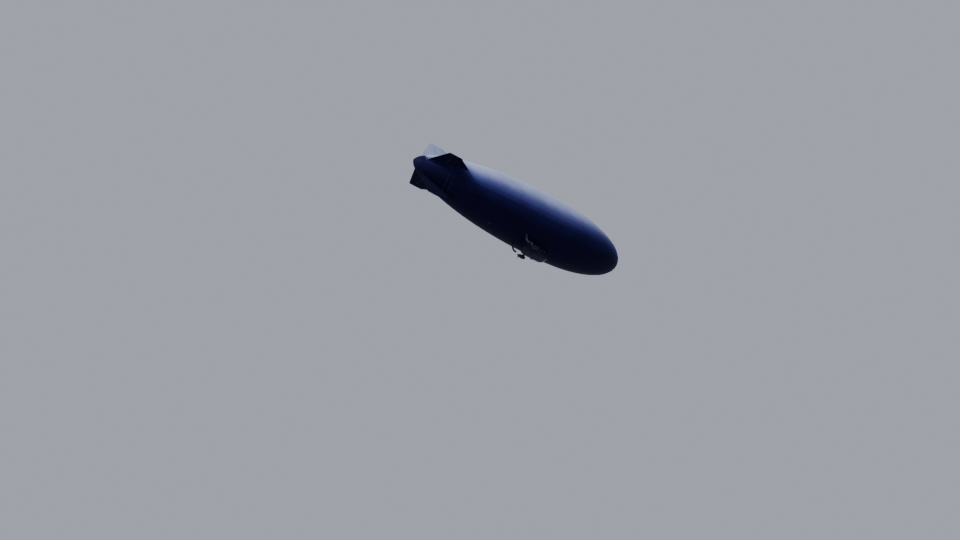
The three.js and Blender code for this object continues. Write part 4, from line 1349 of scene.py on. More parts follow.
def cowlParts(c):
    # the shell is a closed line of (x, radius) turned about the shaft: outside, over the round lip and back inside
    dips = [place + d for place in c["grooves"] for d in (-0.008, -0.004, -0.002, 0, 0.002, 0.004, 0.008)]
    x = np.unique(np.concatenate([np.linspace(-0.30, 0.60, 56), dips]))
    radius = cowlRadius(x)
    for place in c["grooves"]:
        radius = radius - c["grooveDepth"] * np.exp(-(((x - place) / c["grooveWidth"]) ** 2))
    over = np.linspace(0, np.pi, 12)[1:]
    lip = np.array(c["lipMiddle"]) + np.array(c["lipReach"]) * np.stack([np.sin(over), np.cos(over)], -1)
    parts = [roundX(np.vstack([np.stack([x, radius], -1), lip, c["inside"]]), 96, closed=True)]
    normals = aboutX(turnsOf(c["rivetsRound"]))
    for place in [groove + side * c["rivetGap"] for groove in c["grooves"] for side in (-1, 1)] + [c["frontRivets"]]:
        parts.append(repeated(dome(c["rivet"]), normals * cowlRadius(place) + [place, 0, 0], normals))
    latch = plate(roundedBox(0.034, 0.016, 0.005), 0.002, 0.009)
    toggle = plate(roundedBox(0.020, 0.006, 0.003), 0.008, 0.014)
    louvre = plate(roundedBox(0.016, 0.090, 0.007), -0.003, 0.010, 0.004)
    seam = np.linspace(*c["seam"], 60)
    for side in (1, -1):
        path = np.stack([seam, side * (cowlRadius(seam) + 0.0005), np.zeros(60)], -1)
        parts.append(swept(path, roundedBox(0.022, 0.004, 0.0015), (0, side, 0)))
        parts += [onCowl(part, c["latches"], np.array([0, side, 0])) for part in (latch, toggle)]
    return parts + [onCowl(louvre, c["louvres"], normal) for normal in aboutX(np.radians(c["louvreTurns"]))]


def aerofoil(chord, thickness, each=22):
    # half thickness by the root and the first four powers of the share of the chord, behind the round nose
    share = (1 - np.cos(np.linspace(0, np.pi, each))) / 2
    powers = ((0.5, 0.2969), (1, -0.1260), (2, -0.3516), (3, 0.2843), (4, -0.1036))
    half = 5 * thickness * sum(factor * share**power for power, factor in powers)
    upper = np.stack([chord * (0.5 - share), half], -1)
    return np.vstack([upper, (upper * [1, -1])[-2:0:-1]])


beam = dict(
    middle=0.165,
    chord=0.30,
    thickness=0.088,
    fillet=0.35,  # how much thicker it is at the car, and how fast that fades
    filletReach=0.05,
    outer=0.188,  # from the shaft to its outer end
    boltRows=(0.06, 0.27),  # from the car, and from the shaft
    bolts=(0.14, 0.18, 0.22),
    boltHeight=0.036,
)


def beamParts(b, e):
    # an aerofoil carried from the car to the cowling, swelling into a fillet at both ends
    middle = e["mark"] + b["middle"]
    path = straight((middle, wallY + 0.0005, e["z"]), (middle, e["y"] - b["outer"], e["z"]), 40)
    share = np.linspace(0, 1, 40)
    fade = np.exp(-share / b["filletReach"]) + 0.6 * np.exp(-(1 - share) / b["filletReach"])
    spar = swept(path, aerofoil(b["chord"], b["thickness"]), swell=1 + b["fillet"] * fade)
    rows = (wallY + b["boltRows"][0], e["y"] - b["boltRows"][1])
    spots = np.array([(e["mark"] + x, y, e["z"], side) for y in rows for x in b["bolts"] for side in (1, -1)])
    normals = spots[:, 3:] * [0, 0, 1]
    return [spar, repeated(dome(0.006), spots[:, :3] + normals * (b["boltHeight"] + 0.0065), normals)]


propeller = dict(
    hubFront=-0.3303,
    hubLength=0.070,
    hub=0.055,
    spinner=0.128,
    root=0.03,
    roundFrom=0.45,
    tip=0.5,
    # distance out, chord, thickness, pitch in degrees
    blade=((0.030, 0.046, 0.040, 60), (0.090, 0.060, 0.030, 54), (0.190, 0.089, 0.019, 36), (0.340, 0.094, 0.012, 23),
           (0.450, 0.080, 0.008, 17), (0.500, 0.070, 0.005, 16)),
    cuff=((0.045, 0.034), (0.060, 0.033), (0.066, 0.029), (0.070, 0.026)),
    screws=10,
)


def bladePart(p):
    # the aerofoil at each distance out, turned by its pitch, its chord drawn in as an ellipse over the tip
    table = np.array(p["blade"])
    end = p["tip"] - p["roundFrom"]
    tipRows = p["roundFrom"] + end * np.sin(np.linspace(0.12, np.pi / 2, 12))
    out = np.concatenate([np.linspace(p["root"], p["roundFrom"], 34), tipRows])
    chord, thickness, pitch = (np.interp(out, table[:, 0], table[:, k]) for k in (1, 2, 3))
    chord = chord * np.sqrt(1 - 0.99 * np.clip((out - p["roundFrom"]) / end, 0, 1) ** 2)
    shape = aerofoil(1.0, 1.0, 20)
    along = shape[:, 0] * chord[:, None]
    thick = shape[:, 1] * thickness[:, None]
    lean = np.radians(90 - pitch)[:, None]
    x = along * np.cos(lean) - thick * np.sin(lean)
    y = along * np.sin(lean) + thick * np.cos(lean)
    return gridPart(np.stack([x, y, np.repeat(out[:, None], len(shape), 1)], -1), capEnds=True)


def propellerParts(p):
    front, hub = p["hubFront"], p["hub"]
    back = front - p["hubLength"]
    share = np.sin(np.linspace(0, np.pi / 2, 24))
    cone = np.stack([back - p["spinner"] * share, 0.001 + (hub - 0.001) * np.sqrt(1 - share**2)], -1)[::-1]
    band = [(back + 0.001, hub), (back + 0.006, hub + 0.0015), (back + 0.012, hub)]
    parts = [roundX(np.vstack([cone, band, [(front - 0.004, hub), (front, hub - 0.004)]]), 48)]
    for turn in (0, 180):
        for part in (bladePart(p), roundZ(p["cuff"], 28)):
            parts.append(shifted(turnedPart(part, turn), front - p["hubLength"] / 2, 0, 0))
    normals = aboutX(turnsOf(p["screws"]) + 0.3)
    return parts + [repeated(dome(0.0035), normals * (hub + 0.0014) + [back + 0.006, 0, 0], normals)]


def pipePart(path, radius, bore, sides=24, up=(0, 1, 0)):
    # a hollow tube: the rows of its outside, then those of its inside in turn back, closed into a ring
    walls = (swept(path, circle(size, sides), up)[0] for size in (radius, bore))
    outer, inner = (points[: len(path) * sides].reshape(-1, sides, 3) for points in walls)
    return gridPart(np.concatenate([outer, inner[::-1]]), closeRows=True)


exhaust = dict(
    side=0.06,
    path=((0.250, -0.150), (0.248, -0.190), (0.236, -0.222), (0.205, -0.243), (0.140, -0.250), (0.060, -0.250)),
    radius=0.016,
    bore=0.012,
    # flange, clamp and rolled end: share of the pipe's length, how far they stand out, length
    rings=((0.30, 0.006, 0.010), (0.78, 0.004, 0.014), (0.985, 0.0015, 0.006)),
)


def exhaustParts(pipe, e):
    bends = curveThrough([(e["mark"] + x, e["y"] + pipe["side"], e["z"] + z) for x, z in pipe["path"]], 60)
    parts = [pipePart(bends, pipe["radius"], pipe["bore"])]
    for share, wide, long in pipe["rings"]:
        i = int(share * 59)
        half = unit(bends[min(i + 1, 59)] - bends[i - 1]) * long / 2
        ring = straight(bends[i] - half, bends[i] + half, 4)
        parts.append(pipePart(ring, pipe["radius"] + wide, pipe["radius"] - 0.001))
    return parts


makePair("cowl", [shifted(part, *atShaft) for part in cowlParts(cowl)], "carPaint", "engine_cowling")
makePair("outrigger_beam", beamParts(beam, engine), "carPaint", "outrigger")
blades = [shifted(part, *atShaft) for part in propellerParts(propeller)]
makePair("propeller_blades", blades, "bladePaint", "propeller", ("port_propeller", "starboard_propeller"))
makePair("exhaust_pipe", exhaustParts(exhaust, engine), "engineMetal", "exhaust")
print("engines are made")

# Air scoops: coated cloth sleeves drawn over hoops

scoop = dict(
    path=((-0.64, -4.15), (-0.80, -4.14), (-0.98, -4.05), (-1.08, -3.82), (-1.10, -3.50), (-1.10, -3.24)),
    radius=0.107,
    wall=0.0016,
    hoopSpacing=0.165,
    sag=0.006,
    folds=11,
    foldDepth=0.0022,
    mouthHoop=0.0075,
    hoop=0.0048,
    collar=dict(radius=0.122, wide=0.046, high=0.010, up=(0, 0.33, -0.94)),  # up: square to the envelope there
)
scoopPath = curveThrough([(engine["mark"] + x, engine["y"], z) for x, z in scoop["path"]], 130)
scoopLength = lengthAlong(scoopPath)
scoopLift = np.cross((0.0, 1.0, 0.0), unit(np.gradient(scoopPath, axis=0)))


def scoopRing(i, angle, radius):
    # points about the sleeve's middle line at its i-th place, or at all of them
    aside = np.cos(angle)[:, None] * np.array([0.0, 1.0, 0.0])
    way = aside + np.sin(angle)[:, None] * scoopLift[i][..., None, :]
    return scoopPath[i][..., None, :] + radius * way


def scoopSleeve(c):
    # radius along the sleeve: it sinks as a squared sine between hoops, with fine folds that slant round it
    angle = turnsOf(64)
    between = np.sin(np.pi * scoopLength / c["hoopSpacing"])[:, None] ** 2
    folds = np.sin(c["folds"] * angle + 9 * scoopLength[:, None] + 1.3 * np.sin(3 * angle))
    radius = c["radius"] - between * (c["sag"] * (0.8 + 0.2 * np.cos(angle - 1)) + c["foldDepth"] * folds)
    outside, inside = (scoopRing(slice(None), angle, r[..., None]) for r in (radius, radius - c["wall"]))
    return gridPart(np.concatenate([outside, inside[::-1]]), closeRows=True)


def scoopHoops(c):
    # round hoops inside the cloth's high places, and a thicker one at the mouth
    parts = []
    for k in range(int(scoopLength[-1] / c["hoopSpacing"])):
        i = int(np.searchsorted(scoopLength, k * c["hoopSpacing"]))
        thick = c["hoop"] if k else c["mouthHoop"]
        loop = scoopRing(i, turnsOf(48), c["radius"] - (thick * 0.4 if k else 0.001))
        parts.append(swept(loop, circle(thick, 10), np.cross(scoopLift[i], (0, 1.0, 0)), closed=True))
    return parts


def scoopCollar(c):
    # a ring of cloth glued to the envelope round the sleeve's foot
    x, y = (circle(c["radius"], 64) + scoopPath[-1][:2]).T
    path = np.stack([x, y, 0.004 - np.sqrt(hullRadius(x) ** 2 - y**2)], -1)
    return swept(path, roundedBox(c["wide"], c["high"], 0.003), c["up"], closed=True)


sleeves = makePair("air_scoop_sleeve", [scoopSleeve(scoop)], "scoopCloth", "air_scoop")
makePair("air_scoop_hoops", scoopHoops(scoop), "greyPaint")
makePair("air_scoop_collar", [scoopCollar(scoop["collar"])], "envelopeCloth")
for piece, side in zip(sleeves, ("port", "starboard")):
    "air_scoop_hoops_" + side
print("scoops are made")

# Rubber gaskets round the windows

gasket = dict(
    wide=0.016,
    high=0.009,
    reach=0.005,  # from the opening's edge to the gasket's middle
    corner=0.06,
    castCorner=0.05,  # on the rounded nose and tail
    sideZ=(-4.19, -3.73),
    port=((1.64, 2.03), (1.16, 1.56), (0.68, 1.08), (0.20, 0.60)),
    starboard=((1.64, 2.03), (1.19, 1.56), (0.14, 0.56)),
    door=((0.73, 0.97),),
    beside=((2.18, 2.78), (-4.22, -3.73)),
    front=((0.022, 0.330), (-4.20, -3.83)),
    tail=((-0.17, 0.17), (-4.18, -3.76)),
)


def pickedFrom(line, length, at):
    # the places on a line that lie at some distances along it
    return np.stack([np.interp(at, length, line[:, k]) for k in range(line.shape[1])], -1)


def evenly(line, count):
    # points evenly spaced round a closed line
    line = np.vstack([line, line[:1]])
    length = lengthAlong(line)
    return pickedFrom(line, length, np.linspace(0, length[-1], count, endpoint=False))


def loopAround(u, v, corner, grow, count=130):
    # a rectangle with quarter circles for corners, a little larger than an opening
    line = roundedBox(u[1] - u[0] + 2 * grow, v[1] - v[0] + 2 * grow, corner + grow, 9)
    return evenly(line, count) + [sum(u) / 2, sum(v) / 2]


def beadOn(points, normals, wide, high):
    # a rounded bead along a closed line on a surface, standing along the surface's smoothed normals
    smooth = unit(sum(np.roll(normals, k, 0) for k in range(-5, 6)).astype(float))
    return swept(points + smooth * (high / 2 - 0.0015), roundedBox(wide, high, high * 0.38), smooth, closed=True)


def flatGaskets(g, pairs, side):
    made = []
    for pair in pairs:
        points = np.insert(loopAround(pair, g["sideZ"], g["corner"], g["reach"]), 1, side * wallY, axis=1)
        made.append(beadOn(points, np.tile((0.0, side, 0.0), (len(points), 1)), g["wide"], g["high"]))
    return made


def castGasket(g, tree, place, axes, far, way):
    # the same loop, dropped along way onto a curved panel
    points = np.full((130, 3), float(far))
    points[:, axes] = loopAround(*place, g["castCorner"], g["reach"])
    hits, normals = dropOn(tree, points, way)
    return beadOn(roundedCar(hits), normals, g["wide"], g["high"])


noseTree = surfaceOf("car_nose")
tailTree = surfaceOf("car_tail")
gaskets = flatGaskets(gasket, gasket["port"], 1) + flatGaskets(gasket, gasket["starboard"], -1)
frontY, frontZ = gasket["front"]
for side in (1, -1):
    front = (tuple(side * y for y in frontY[::side]), frontZ)
    gaskets.append(castGasket(gasket, noseTree, gasket["beside"], (0, 2), side, (0, -side, 0)))
    gaskets.append(castGasket(gasket, noseTree, front, (1, 2), 3, (-1, 0, 0)))
gaskets.append(castGasket(gasket, tailTree, gasket["tail"], (1, 2), -1, (1, 0, 0)))
makePiece("window_gaskets", gaskets, "ship", "rubber")
makePiece("door_gasket", flatGaskets(gasket, gasket["door"], -1), "door", "rubber")

# Rivet rows, the tape round the fairing's head and the door's handle

trim = dict(
    rivet=0.006,
    spacing=0.04,
    alongX=(-0.09, 2.05),
    rowsZ=(-3.66, -4.48),
    alongZ=(-4.44, -3.70),
    rowsX=(2.08, -0.13),
    noseX=2.125,
    tailX=-0.175,
    fairing=dict(front=2.18, back=-0.18, long=0.445, wide=0.585),
    tapeWide=0.075,
    tapeHigh=0.018,
    tapeSunk=0.010,
)
alongX = np.arange(*trim["alongX"], trim["spacing"])
alongZ = np.arange(*trim["alongZ"], trim["spacing"])
wallSpots = [(x, z) for z in trim["rowsZ"] for x in alongX] + [(x, z) for x in trim["rowsX"] for z in alongZ]
heads = []
for side, wall in ((1, "car_side_port"), (-1, "car_side_starboard")):
    rows = [(surfaceOf(wall), wallSpots)]
    rows += [(tree, [(x, z) for z in alongZ]) for tree, x in ((noseTree, trim["noseX"]), (tailTree, trim["tailX"]))]
    for tree, spots in rows:
        hits, normals = dropOn(tree, [(x, side, z) for x, z in spots], (0, -side, 0))
        heads.append(repeated(dome(trim["rivet"]), roundedCar(hits), normals))
makePiece("car_rivets", heads, "ship", "carPaint")


def fairingTape(t):
    # the fairing's outline, two half ellipses and the lines between them, laid on the envelope
    f = t["fairing"]
    line = circle(1, 160) * [f["long"], f["wide"]]
    line[:, 0] += np.where(line[:, 0] >= 0, f["front"], f["back"])
    line = evenly(line, 200)
    radius = hullRadius(line[:, 0])
    points = np.column_stack([line, -np.sqrt(radius**2 - line[:, 1] ** 2)])
    normals = points * [0, 1, 1] / radius[:, None]
    return beadOn(points - normals * t["tapeSunk"], normals, t["tapeWide"], t["tapeHigh"])


makePiece("fairing_tape", [fairingTape(trim)], "ship", "envelopeCloth")

handle = dict(
    at=(0.70, -wallY, -4.26),
    lever=((0, 0.002, 0), (0, -0.0154, 0), (0.012, -0.022, 0), (0.09, -0.022, 0.004)),
    radius=0.006,
    swell=0.35,  # how much thicker the lever is at its end
    rose=((0, 0.020), (0.003, 0.020), (0.005, 0.017), (0.0055, 0.010)),
)
leverSwell = 1 + handle["swell"] * np.linspace(0, 1, 30) ** 3
lever = swept(curveThrough(handle["lever"], 30), circle(handle["radius"], 14), swell=leverSwell)
rose = turnedPart(roundZ(handle["rose"], 28), 90)
makePiece("door_handle", [shifted(part, *handle["at"]) for part in (lever, rose)], "door", "bareMetal")

# Handrails at the foot of the car

rail = dict(
    z=-4.625,
    line=((2.42, 0.42), (2.38, 0.475), (2.33, 0.52), (2.27, 0.555), (2.20, 0.572), (2.10, 0.572), (1.60, 0.572),
          (1.05, 0.572), (0.50, 0.572), (0.05, 0.572), (-0.05, 0.569), (-0.12, 0.55), (-0.18, 0.52), (-0.24, 0.44),
          (-0.265, 0.345)),
    radius=0.010,
    posts=(0.13, 0.31, 0.5, 0.69, 0.87),
    post=0.008,
    rise=0.022,  # from the rail to the foot of a post
    foot=((-0.004, 0.020), (0.002, 0.020), (0.004, 0.018), (0.006, 0.011)),
)


def railParts(r):
    path = curveThrough([(x, y, r["z"]) for x, y in r["line"]], 170)
    length = lengthAlong(path)
    ends = np.clip(np.minimum(length, length[-1] - length) / r["radius"], 0, 1)
    parts = [swept(path, circle(r["radius"], 16), swell=np.sqrt(1 - 0.9 * (1 - ends) ** 2))]
    spots = pickedFrom(path, length, np.array(r["posts"]) * length[-1])
    tree = surfaceOf("car_floor", "car_nose", "car_tail")
    roots, normals = dropOn(tree, spots + [0, 0.3, r["rise"]], (0, -1, 0))
    roots = roundedCar(roots)
    for spot, root, normal in zip(spots, roots, normals):
        parts.append(rod(root - normal * 0.004, spot, r["post"], 14, (1, 0, 0)))
    parts.append(repeated(roundZ(r["foot"], 24), roots, normals))
    parts.append(repeated(dome(0.012, 0.9, 14), spots, (0, 0, -1)))
    return parts


makePair("handrail_bar", railParts(rail), "carPaint", "handrail")
print("car trim is made")

# Landing gear

leg = dict(
    x=0.9,
    # height and radius: the foot, a collar, and the flange under the car
    line=((-4.88, 0.042), (-4.877, 0.045), (-4.80, 0.045), (-4.797, 0.049), (-4.790, 0.049), (-4.787, 0.045),
          (-4.755, 0.045), (-4.742, 0.051), (-4.7343, 0.063), (-4.7343, 0.108), (-4.7323, 0.11), (-4.7223, 0.11),
          (-4.7203, 0.108)),
    flangeZ=-4.7343,
    bolts=8,
    boltCircle=0.088,
)
boltPlaces = np.insert(circle(leg["boltCircle"], leg["bolts"]), 2, leg["flangeZ"], axis=1)
legBolts = repeated(plate(circle(0.010, 6), -0.001, 0.007, 0.001), boltPlaces, (0, 0, -1))
legParts = [shifted(part, leg["x"], 0, 0) for part in (roundZ(leg["line"], 48), legBolts)]
makePiece("landing_leg", legParts, "ship", "greyPaint", ["landing_strut"])

wheel = dict(
    at=(0.83, 0, -5.10),
    tyre=0.15,
    halfWidth=0.05,
    treadHalf=0.036,
    treadFall=0.004,
    grooves=(-0.024, -0.008, 0.008, 0.024),
    grooveDepth=0.004,
    grooveWidth=0.0015,
    wall=(0.1165, 0.0295),  # middle and half height of the tyre's wall
    bead=(0.034, 0.087),
    # half of the rim: how far it stands from the wheel's middle, and its radius
    rim=((0.0, 0.0790), (0.026, 0.0805), (0.031, 0.0855), (0.035, 0.0880), (0.038, 0.0865), (0.036, 0.0810),
         (0.020, 0.0720), (0.011, 0.0600), (0.010, 0.0400), (0.018, 0.0290), (0.046, 0.0270), (0.048, 0.0250),
         (0.048, 0.0110)),
    studs=5,
    studCircle=0.048,
    studAt=0.0105,
    valve=((0.062, 0.009, 0), (0.060, 0.030, 0)),
    valveRadius=0.0025,
)


def roundY(profile, sides, closed=True):
    # a line of (y, radius) pairs turned about the Y axis
    points, faces = roundX(profile, sides, closed)
    return points[:, [1, 0, 2]], faces


def tyreLine(w):
    # the tread is nearly flat with a bell-shaped dip for each groove, and the walls bulge as half ellipses
    edge = w["treadHalf"]
    y = np.linspace(-edge, edge, 121)
    tread = w["tyre"] - w["treadFall"] * (y / edge) ** 4
    for place in w["grooves"]:
        tread = tread - w["grooveDepth"] * np.exp(-(((y - place) / w["grooveWidth"]) ** 4))
    turn = np.linspace(0, np.pi, 20)[1:-1]
    middle, half = w["wall"]
    wall = np.stack([edge + (w["halfWidth"] - edge) * np.sin(turn), middle + half * np.cos(turn)], -1)
    bead = np.array([w["bead"]])
    return np.vstack([np.stack([y, tread], -1), wall, bead, bead * [-1, 1], (wall * [-1, 1])[::-1]])


def rimParts(w):
    rim = np.array(w["rim"])
    parts = [roundY(np.vstack([rim, (rim * [-1, 1])[:0:-1]]), 72), rod(*w["valve"], w["valveRadius"], 10)]
    stud = plate(circle(0.0065, 6), -0.002, 0.006, 0.001)
    for side in (1, -1):
        places = np.insert(circle(w["studCircle"], w["studs"]), 1, side * w["studAt"], axis=1)
        parts.append(repeated(stud, places, (0, side, 0)))
    return parts


wheelParts = {"tyre": [roundY(tyreLine(wheel), 96)], "rim": rimParts(wheel)}
for (name, parts), material in zip(wheelParts.items(), ("rubber", "greyPaint")):
    parts = [shifted(part, *wheel["at"]) for part in parts]
    makePiece("landing_" + name, parts, "wheel", material, ["wheel_" + name])
print("landing gear is made")

# Seats: sewn cushions puffed as cloth, on metal frames

seat = dict(
    floorZ=-4.6947,
    pilots=(("port", 2.08, 0.25), ("starboard", 2.08, -0.25)),
    passengers=((1.56, 0.25), (1.56, -0.25), (1.13, 0.25), (0.70, 0.25), (0.30, 0.25), (0.30, -0.25)),
    cushion=dict(low=(-0.232, -0.115, 0.157), high=(0.0, 0.115, 0.222), seams=(-0.155, -0.078)),
    back=dict(low=(-0.284, -0.115, 0.165), high=(-0.236, 0.115, 0.54), seams=(0.29, 0.415)),
    inset=0.008,
    voxel=0.008,
    pressure=4.0,
    frames=20,
    cap=0.008,
    seamDepth=0.006,
    seamWidth=0.007,
    piping=0.004,
    fill=0.6,
    pan=dict(size=(0.235, 0.215, 0.03), low=0.146, high=0.158, x=-0.122),
    shell=dict(size=(0.37, 0.215, 0.04), low=0, high=0.007, at=(-0.290, 0, 0.350)),
    column=((0.0, 0.075), (0.006, 0.075), (0.009, 0.070), (0.012, 0.040), (0.030, 0.034), (0.115, 0.034),
            (0.135, 0.042), (0.146, 0.060)),
    columnX=-0.125,
    tubes=(-0.085, 0.085),
    tube=((-0.215, 0.147), (-0.262, 0.152), (-0.282, 0.185), (-0.2835, 0.30)),
    tubeRadius=0.0065,
    screwCircle=0.055,
    deck=dict(size=(1.51, 0.70, 0.02), high=0.006, x=0.865),
)


def nearlyBox(low, high, power=0.28, rows=36, columns=72):
    # a superellipsoid: the sines and cosines of two angles raised to a small power
    up = np.linspace(-np.pi / 2, np.pi / 2, rows + 2)[1:-1, None]
    about = turnsOf(columns)[None]
    waves = np.broadcast_arrays(np.cos(up), np.sin(up), np.cos(about), np.sin(about))
    cosUp, sinUp, cosRound, sinRound = (np.sign(wave) * np.abs(wave) ** power for wave in waves)
    points = np.stack([cosUp * cosRound, cosUp * sinRound, sinUp], -1)
    return gridPart((low + high) / 2 + points * (high - low) / 2, capEnds=True)


def meshArrays(mesh):
    points = np.empty(len(mesh.vertices) * 3, np.float32)
    mesh.vertices.foreach_get("co", points)
    faces = np.array([(list(f.vertices) + [-1])[:4] for f in mesh.polygons])
    return points.reshape(-1, 3).astype(float), faces


def puffed(part, s):
    # swells a closed form as cloth under air pressure, no point moving further than the cap
    points, faces = outwards(part)
    mesh = bpy.data.meshes.new("pad")
    mesh.from_pydata(points.tolist(), [], [[i for i in face if i >= 0] for face in faces.tolist()])
    pad = newObject("pad", mesh)
    remesh = pad.modifiers.new("voxels", "REMESH")
    remesh.mode = "VOXEL"
    remesh.voxel_size = s["voxel"]
    depsgraph = bpy.context.evaluated_depsgraph_get()
    pad.data = bpy.data.meshes.new_from_object(pad.evaluated_get(depsgraph))
    pad.modifiers.clear()
    before, faces = meshArrays(pad.data)
    after = before
    cloth = pad.modifiers.new("cloth", "CLOTH")
    cloth.settings.quality = 5
    cloth.settings.use_pressure = True
    cloth.settings.uniform_pressure_force = s["pressure"]
    cloth.settings.effector_weights.gravity = 0
    cloth.point_cache.frame_start, cloth.point_cache.frame_end = 1, s["frames"]
    for number in range(1, s["frames"] + 1):
        bpy.context.scene.frame_set(number)
    depsgraph = bpy.context.evaluated_depsgraph_get()
    result = bpy.data.meshes.new_from_object(pad.evaluated_get(depsgraph))
    after = meshArrays(result)[0]
    bpy.context.scene.frame_set(1)
    bpy.data.objects.remove(pad)
    move = after - before
    size = np.linalg.norm(move, axis=1, keepdims=True)
    return before + move * np.minimum(1, s["cap"] / np.maximum(size, 1e-9)), faces


def sewn(part, box, s, along, face):
    # channels pressed into the pad where its seams cross it: a bell-shaped dip on one face
    points, faces = part
    low, high = box["low"][face], box["high"][face]
    share = np.clip((points[:, face] - low) / (high - low), 0, 1)
    for place in box["seams"]:
        dip = s["seamDepth"] * np.exp(-(((points[:, along] - place) / s["seamWidth"]) ** 2))
        points[:, face] -= dip * np.clip(share * 3 - 1.5, 0, 1)
    return points, faces


def pipingOn(part, box, s, axes, across):
    # a cord sewn round the pad's widest line, found by rays from its sides
    points, faces = part
    low, high = np.array(box["low"]), np.array(box["high"])
    middle = (low + high) / 2
    tree = BVHTree.FromPolygons(points.tolist(), [[i for i in face if i >= 0] for face in faces.tolist()])
    start = np.tile(middle, (110, 1))
    start[:, axes] = loopAround(*((low[axis], high[axis]) for axis in axes), 0.03, 0.02, 110)
    hits = [tree.ray_cast(Vector(p), (Vector(middle) - Vector(p)).normalized())[0] for p in start]
    path = np.array([hit for hit in hits if hit is not None])
    path = sum(np.roll(path, k, 0) for k in range(-2, 3)) / 5
    return swept(path, circle(s["piping"], 8), np.eye(3)[across], closed=True)


def seatPads(s):
    pads = []
    for box, along, face, axes in ((s["cushion"], 0, 2, (0, 1)), (s["back"], 2, 0, (1, 2))):
        low, high = np.array(box["low"]) + s["inset"], np.array(box["high"]) - s["inset"]
        pad = sewn(puffed(nearlyBox(low, high), s), box, s, along, face)
        pads += [pad, pipingOn(pad, box, s, axes, face)]
    return pads


def seatFrame(s):
    pan, shell = s["pan"], s["shell"]
    upright = Matrix.Translation(shell["at"]) @ Matrix.Rotation(math.pi / 2, 4, "Y")
    parts = [
        shifted(plate(roundedBox(*pan["size"]), pan["low"], pan["high"]), pan["x"], 0, 0),
        moved(plate(roundedBox(*shell["size"]), shell["low"], shell["high"]), upright),
        shifted(roundZ(s["column"], 32), s["columnX"], 0, 0),
    ]
    for y in s["tubes"]:
        knee = curveThrough([(x, y, z) for x, z in s["tube"]], 24)
        parts.append(swept(knee, circle(s["tubeRadius"], 10), (0, 1, 0)))
    screw = plate(circle(0.006, 6), 0.005, 0.011, 0.001)
    ways = [(math.cos(angle), math.sin(angle), 0) for angle in (0.8, 2.35, 3.93, 5.5)]
    return parts + [repeated(screw, np.array(ways) * s["screwCircle"] + [s["columnX"], 0, 0], (0, 0, 1))]


def placed(parts, places):
    return [shifted(part, x, y, seat["floorZ"]) for x, y in places for part in parts]


pads, frameParts = seatPads(seat), seatFrame(seat)
for side, *place in seat["pilots"]:
    node = "pilot_seat_" + side
    piece = makePiece("pilot_cushions_" + side, placed(pads, [place]), "ship", "seatCloth", [node], sharp=60)
    makePiece("pilot_seat_frame_" + side, placed(frameParts, [place]), "ship", "cabinTrim")
cushions = placed(pads, seat["passengers"])
piece = makePiece("passenger_cushions", cushions, "ship", "seatCloth", ["passenger_seats"], sharp=60)
deck = shifted(
    plate(roundedBox(*seat["deck"]["size"]), 0.0, seat["deck"]["high"], 0.001), seat["deck"]["x"], 0, seat["floorZ"]
)
makePiece("passenger_seat_frames", [deck] + placed(frameParts, seat["passengers"]), "ship", "cabinTrim")
print("seats are made")

# Dials on the desk, and the hand wheel of the elevators

desk = dict(
    low=(2.44, -4.33),  # x and z of the desk's face at its foot and at its top
    high=(2.50, -4.18),
    rows=(0.27, 0.72),
    columns=7,
    halfWidth=0.225,
    # height and radius
    ring=((-0.001, 0.024), (0.006, 0.024), (0.008, 0.022), (0.007, 0.020), (0.002, 0.0195), (-0.001, 0.0195)),
    face=((-0.001, 0.020), (0.0022, 0.020)),
    hand=((-0.004, -0.0011), (0.014, -0.0004), (0.014, 0.0004), (-0.004, 0.0011)),
    ticks=12,
    tickAt=0.0168,
)


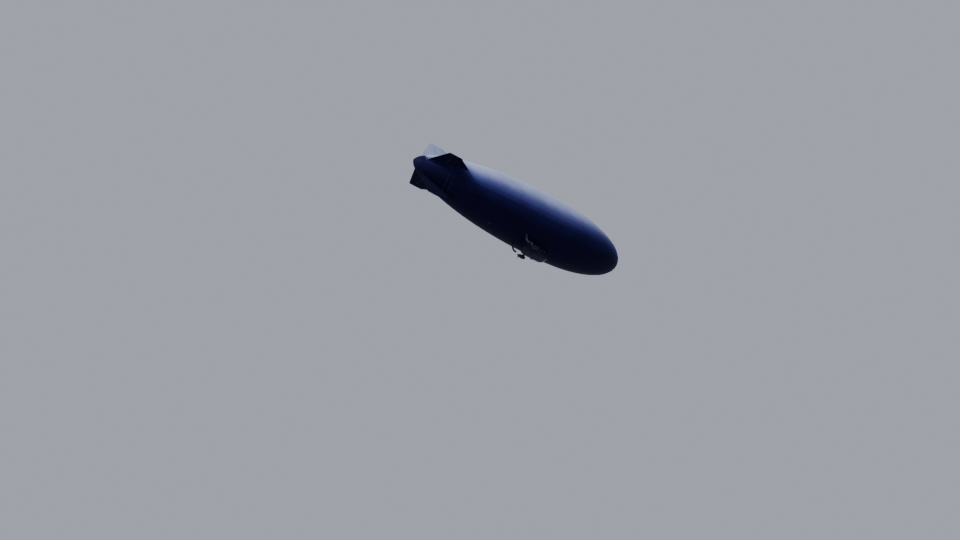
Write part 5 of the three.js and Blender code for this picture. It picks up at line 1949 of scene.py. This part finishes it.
def deskParts(d):
    low, high = np.array(d["low"]), np.array(d["high"])
    rise = unit(high - low)
    spots = [low + (high - low) * share for share in d["rows"]]
    columns = np.linspace(-d["halfWidth"], d["halfWidth"], d["columns"])
    places = np.array([(x, y, z) for x, z in spots for y in columns])
    readings = 0.9 + 2.1 * np.sin(np.arange(len(places)) * 1.7)
    hand = plate(d["hand"], 0.0026, 0.0032, 0.0002)
    tick = shifted(plate(roundedBox(0.0032, 0.0009, 0.0003, 2), 0.0023, 0.0028, 0.0001), d["tickAt"], 0, 0)
    kinds = {
        "rings": [(roundZ(d["ring"], 32, closed=True), 0)],
        "faces": [(roundZ(d["face"], 32), 0)],
        "marks": [(hand, readings)] + [(part, 0) for part in allRound(tick, d["ticks"])],
    }
    normal = (-rise[1], 0, rise[0])
    return {kind: [repeated(part, places, normal, turn) for part, turn in parts] for kind, parts in kinds.items()}


for (kind, parts), material in zip(deskParts(desk).items(), ("bareMetal", "bladePaint", "clearLamp")):
    makePiece("dial_" + kind, parts, "ship", material)

handWheel = dict(
    at=(2.03, 0.0, -4.42),
    radius=0.105,
    tube=0.008,
    spokes=8,
    spoke=(0.012, 0.004),  # where a spoke starts, and its radius
    hub=((-0.016, 0.016), (-0.013, 0.018), (0.036, 0.018), (0.040, 0.016)),
)
stand = dict(
    foot=(2.03, 0.034, seat["floorZ"]),
    head=(2.03, 0.034, -4.40),
    size=(0.05, 0.02),
    swell=0.25,  # how much wider it is at its foot
)


def handWheelParts(w):
    ring, ways = (np.insert(circle(1, count), 1, 0, axis=1) for count in (72, w["spokes"]))
    inner, radius = w["spoke"]
    parts = [swept(ring * w["radius"], circle(w["tube"], 14), (0, 1, 0), closed=True)]
    parts += [rod(way * inner, way * w["radius"], radius, 10, (0, 1, 0)) for way in ways]
    return [shifted(part, *w["at"]) for part in parts + [roundY(w["hub"], 28, closed=False)]]


def standPart(s):
    swell = 1 + s["swell"] * np.exp(-np.linspace(0, 1, 20) / 0.08)
    return swept(straight(s["foot"], s["head"], 20), roundedBox(*s["size"], 0.006), (0, 1, 0), swell=swell)


makePiece("elevator_hand_wheel", handWheelParts(handWheel), "ship", "bareMetal", ["elevator_wheel"])
makePiece("elevator_wheel_stand", [standPart(stand)], "ship", "cabinTrim")
print("cockpit is made")
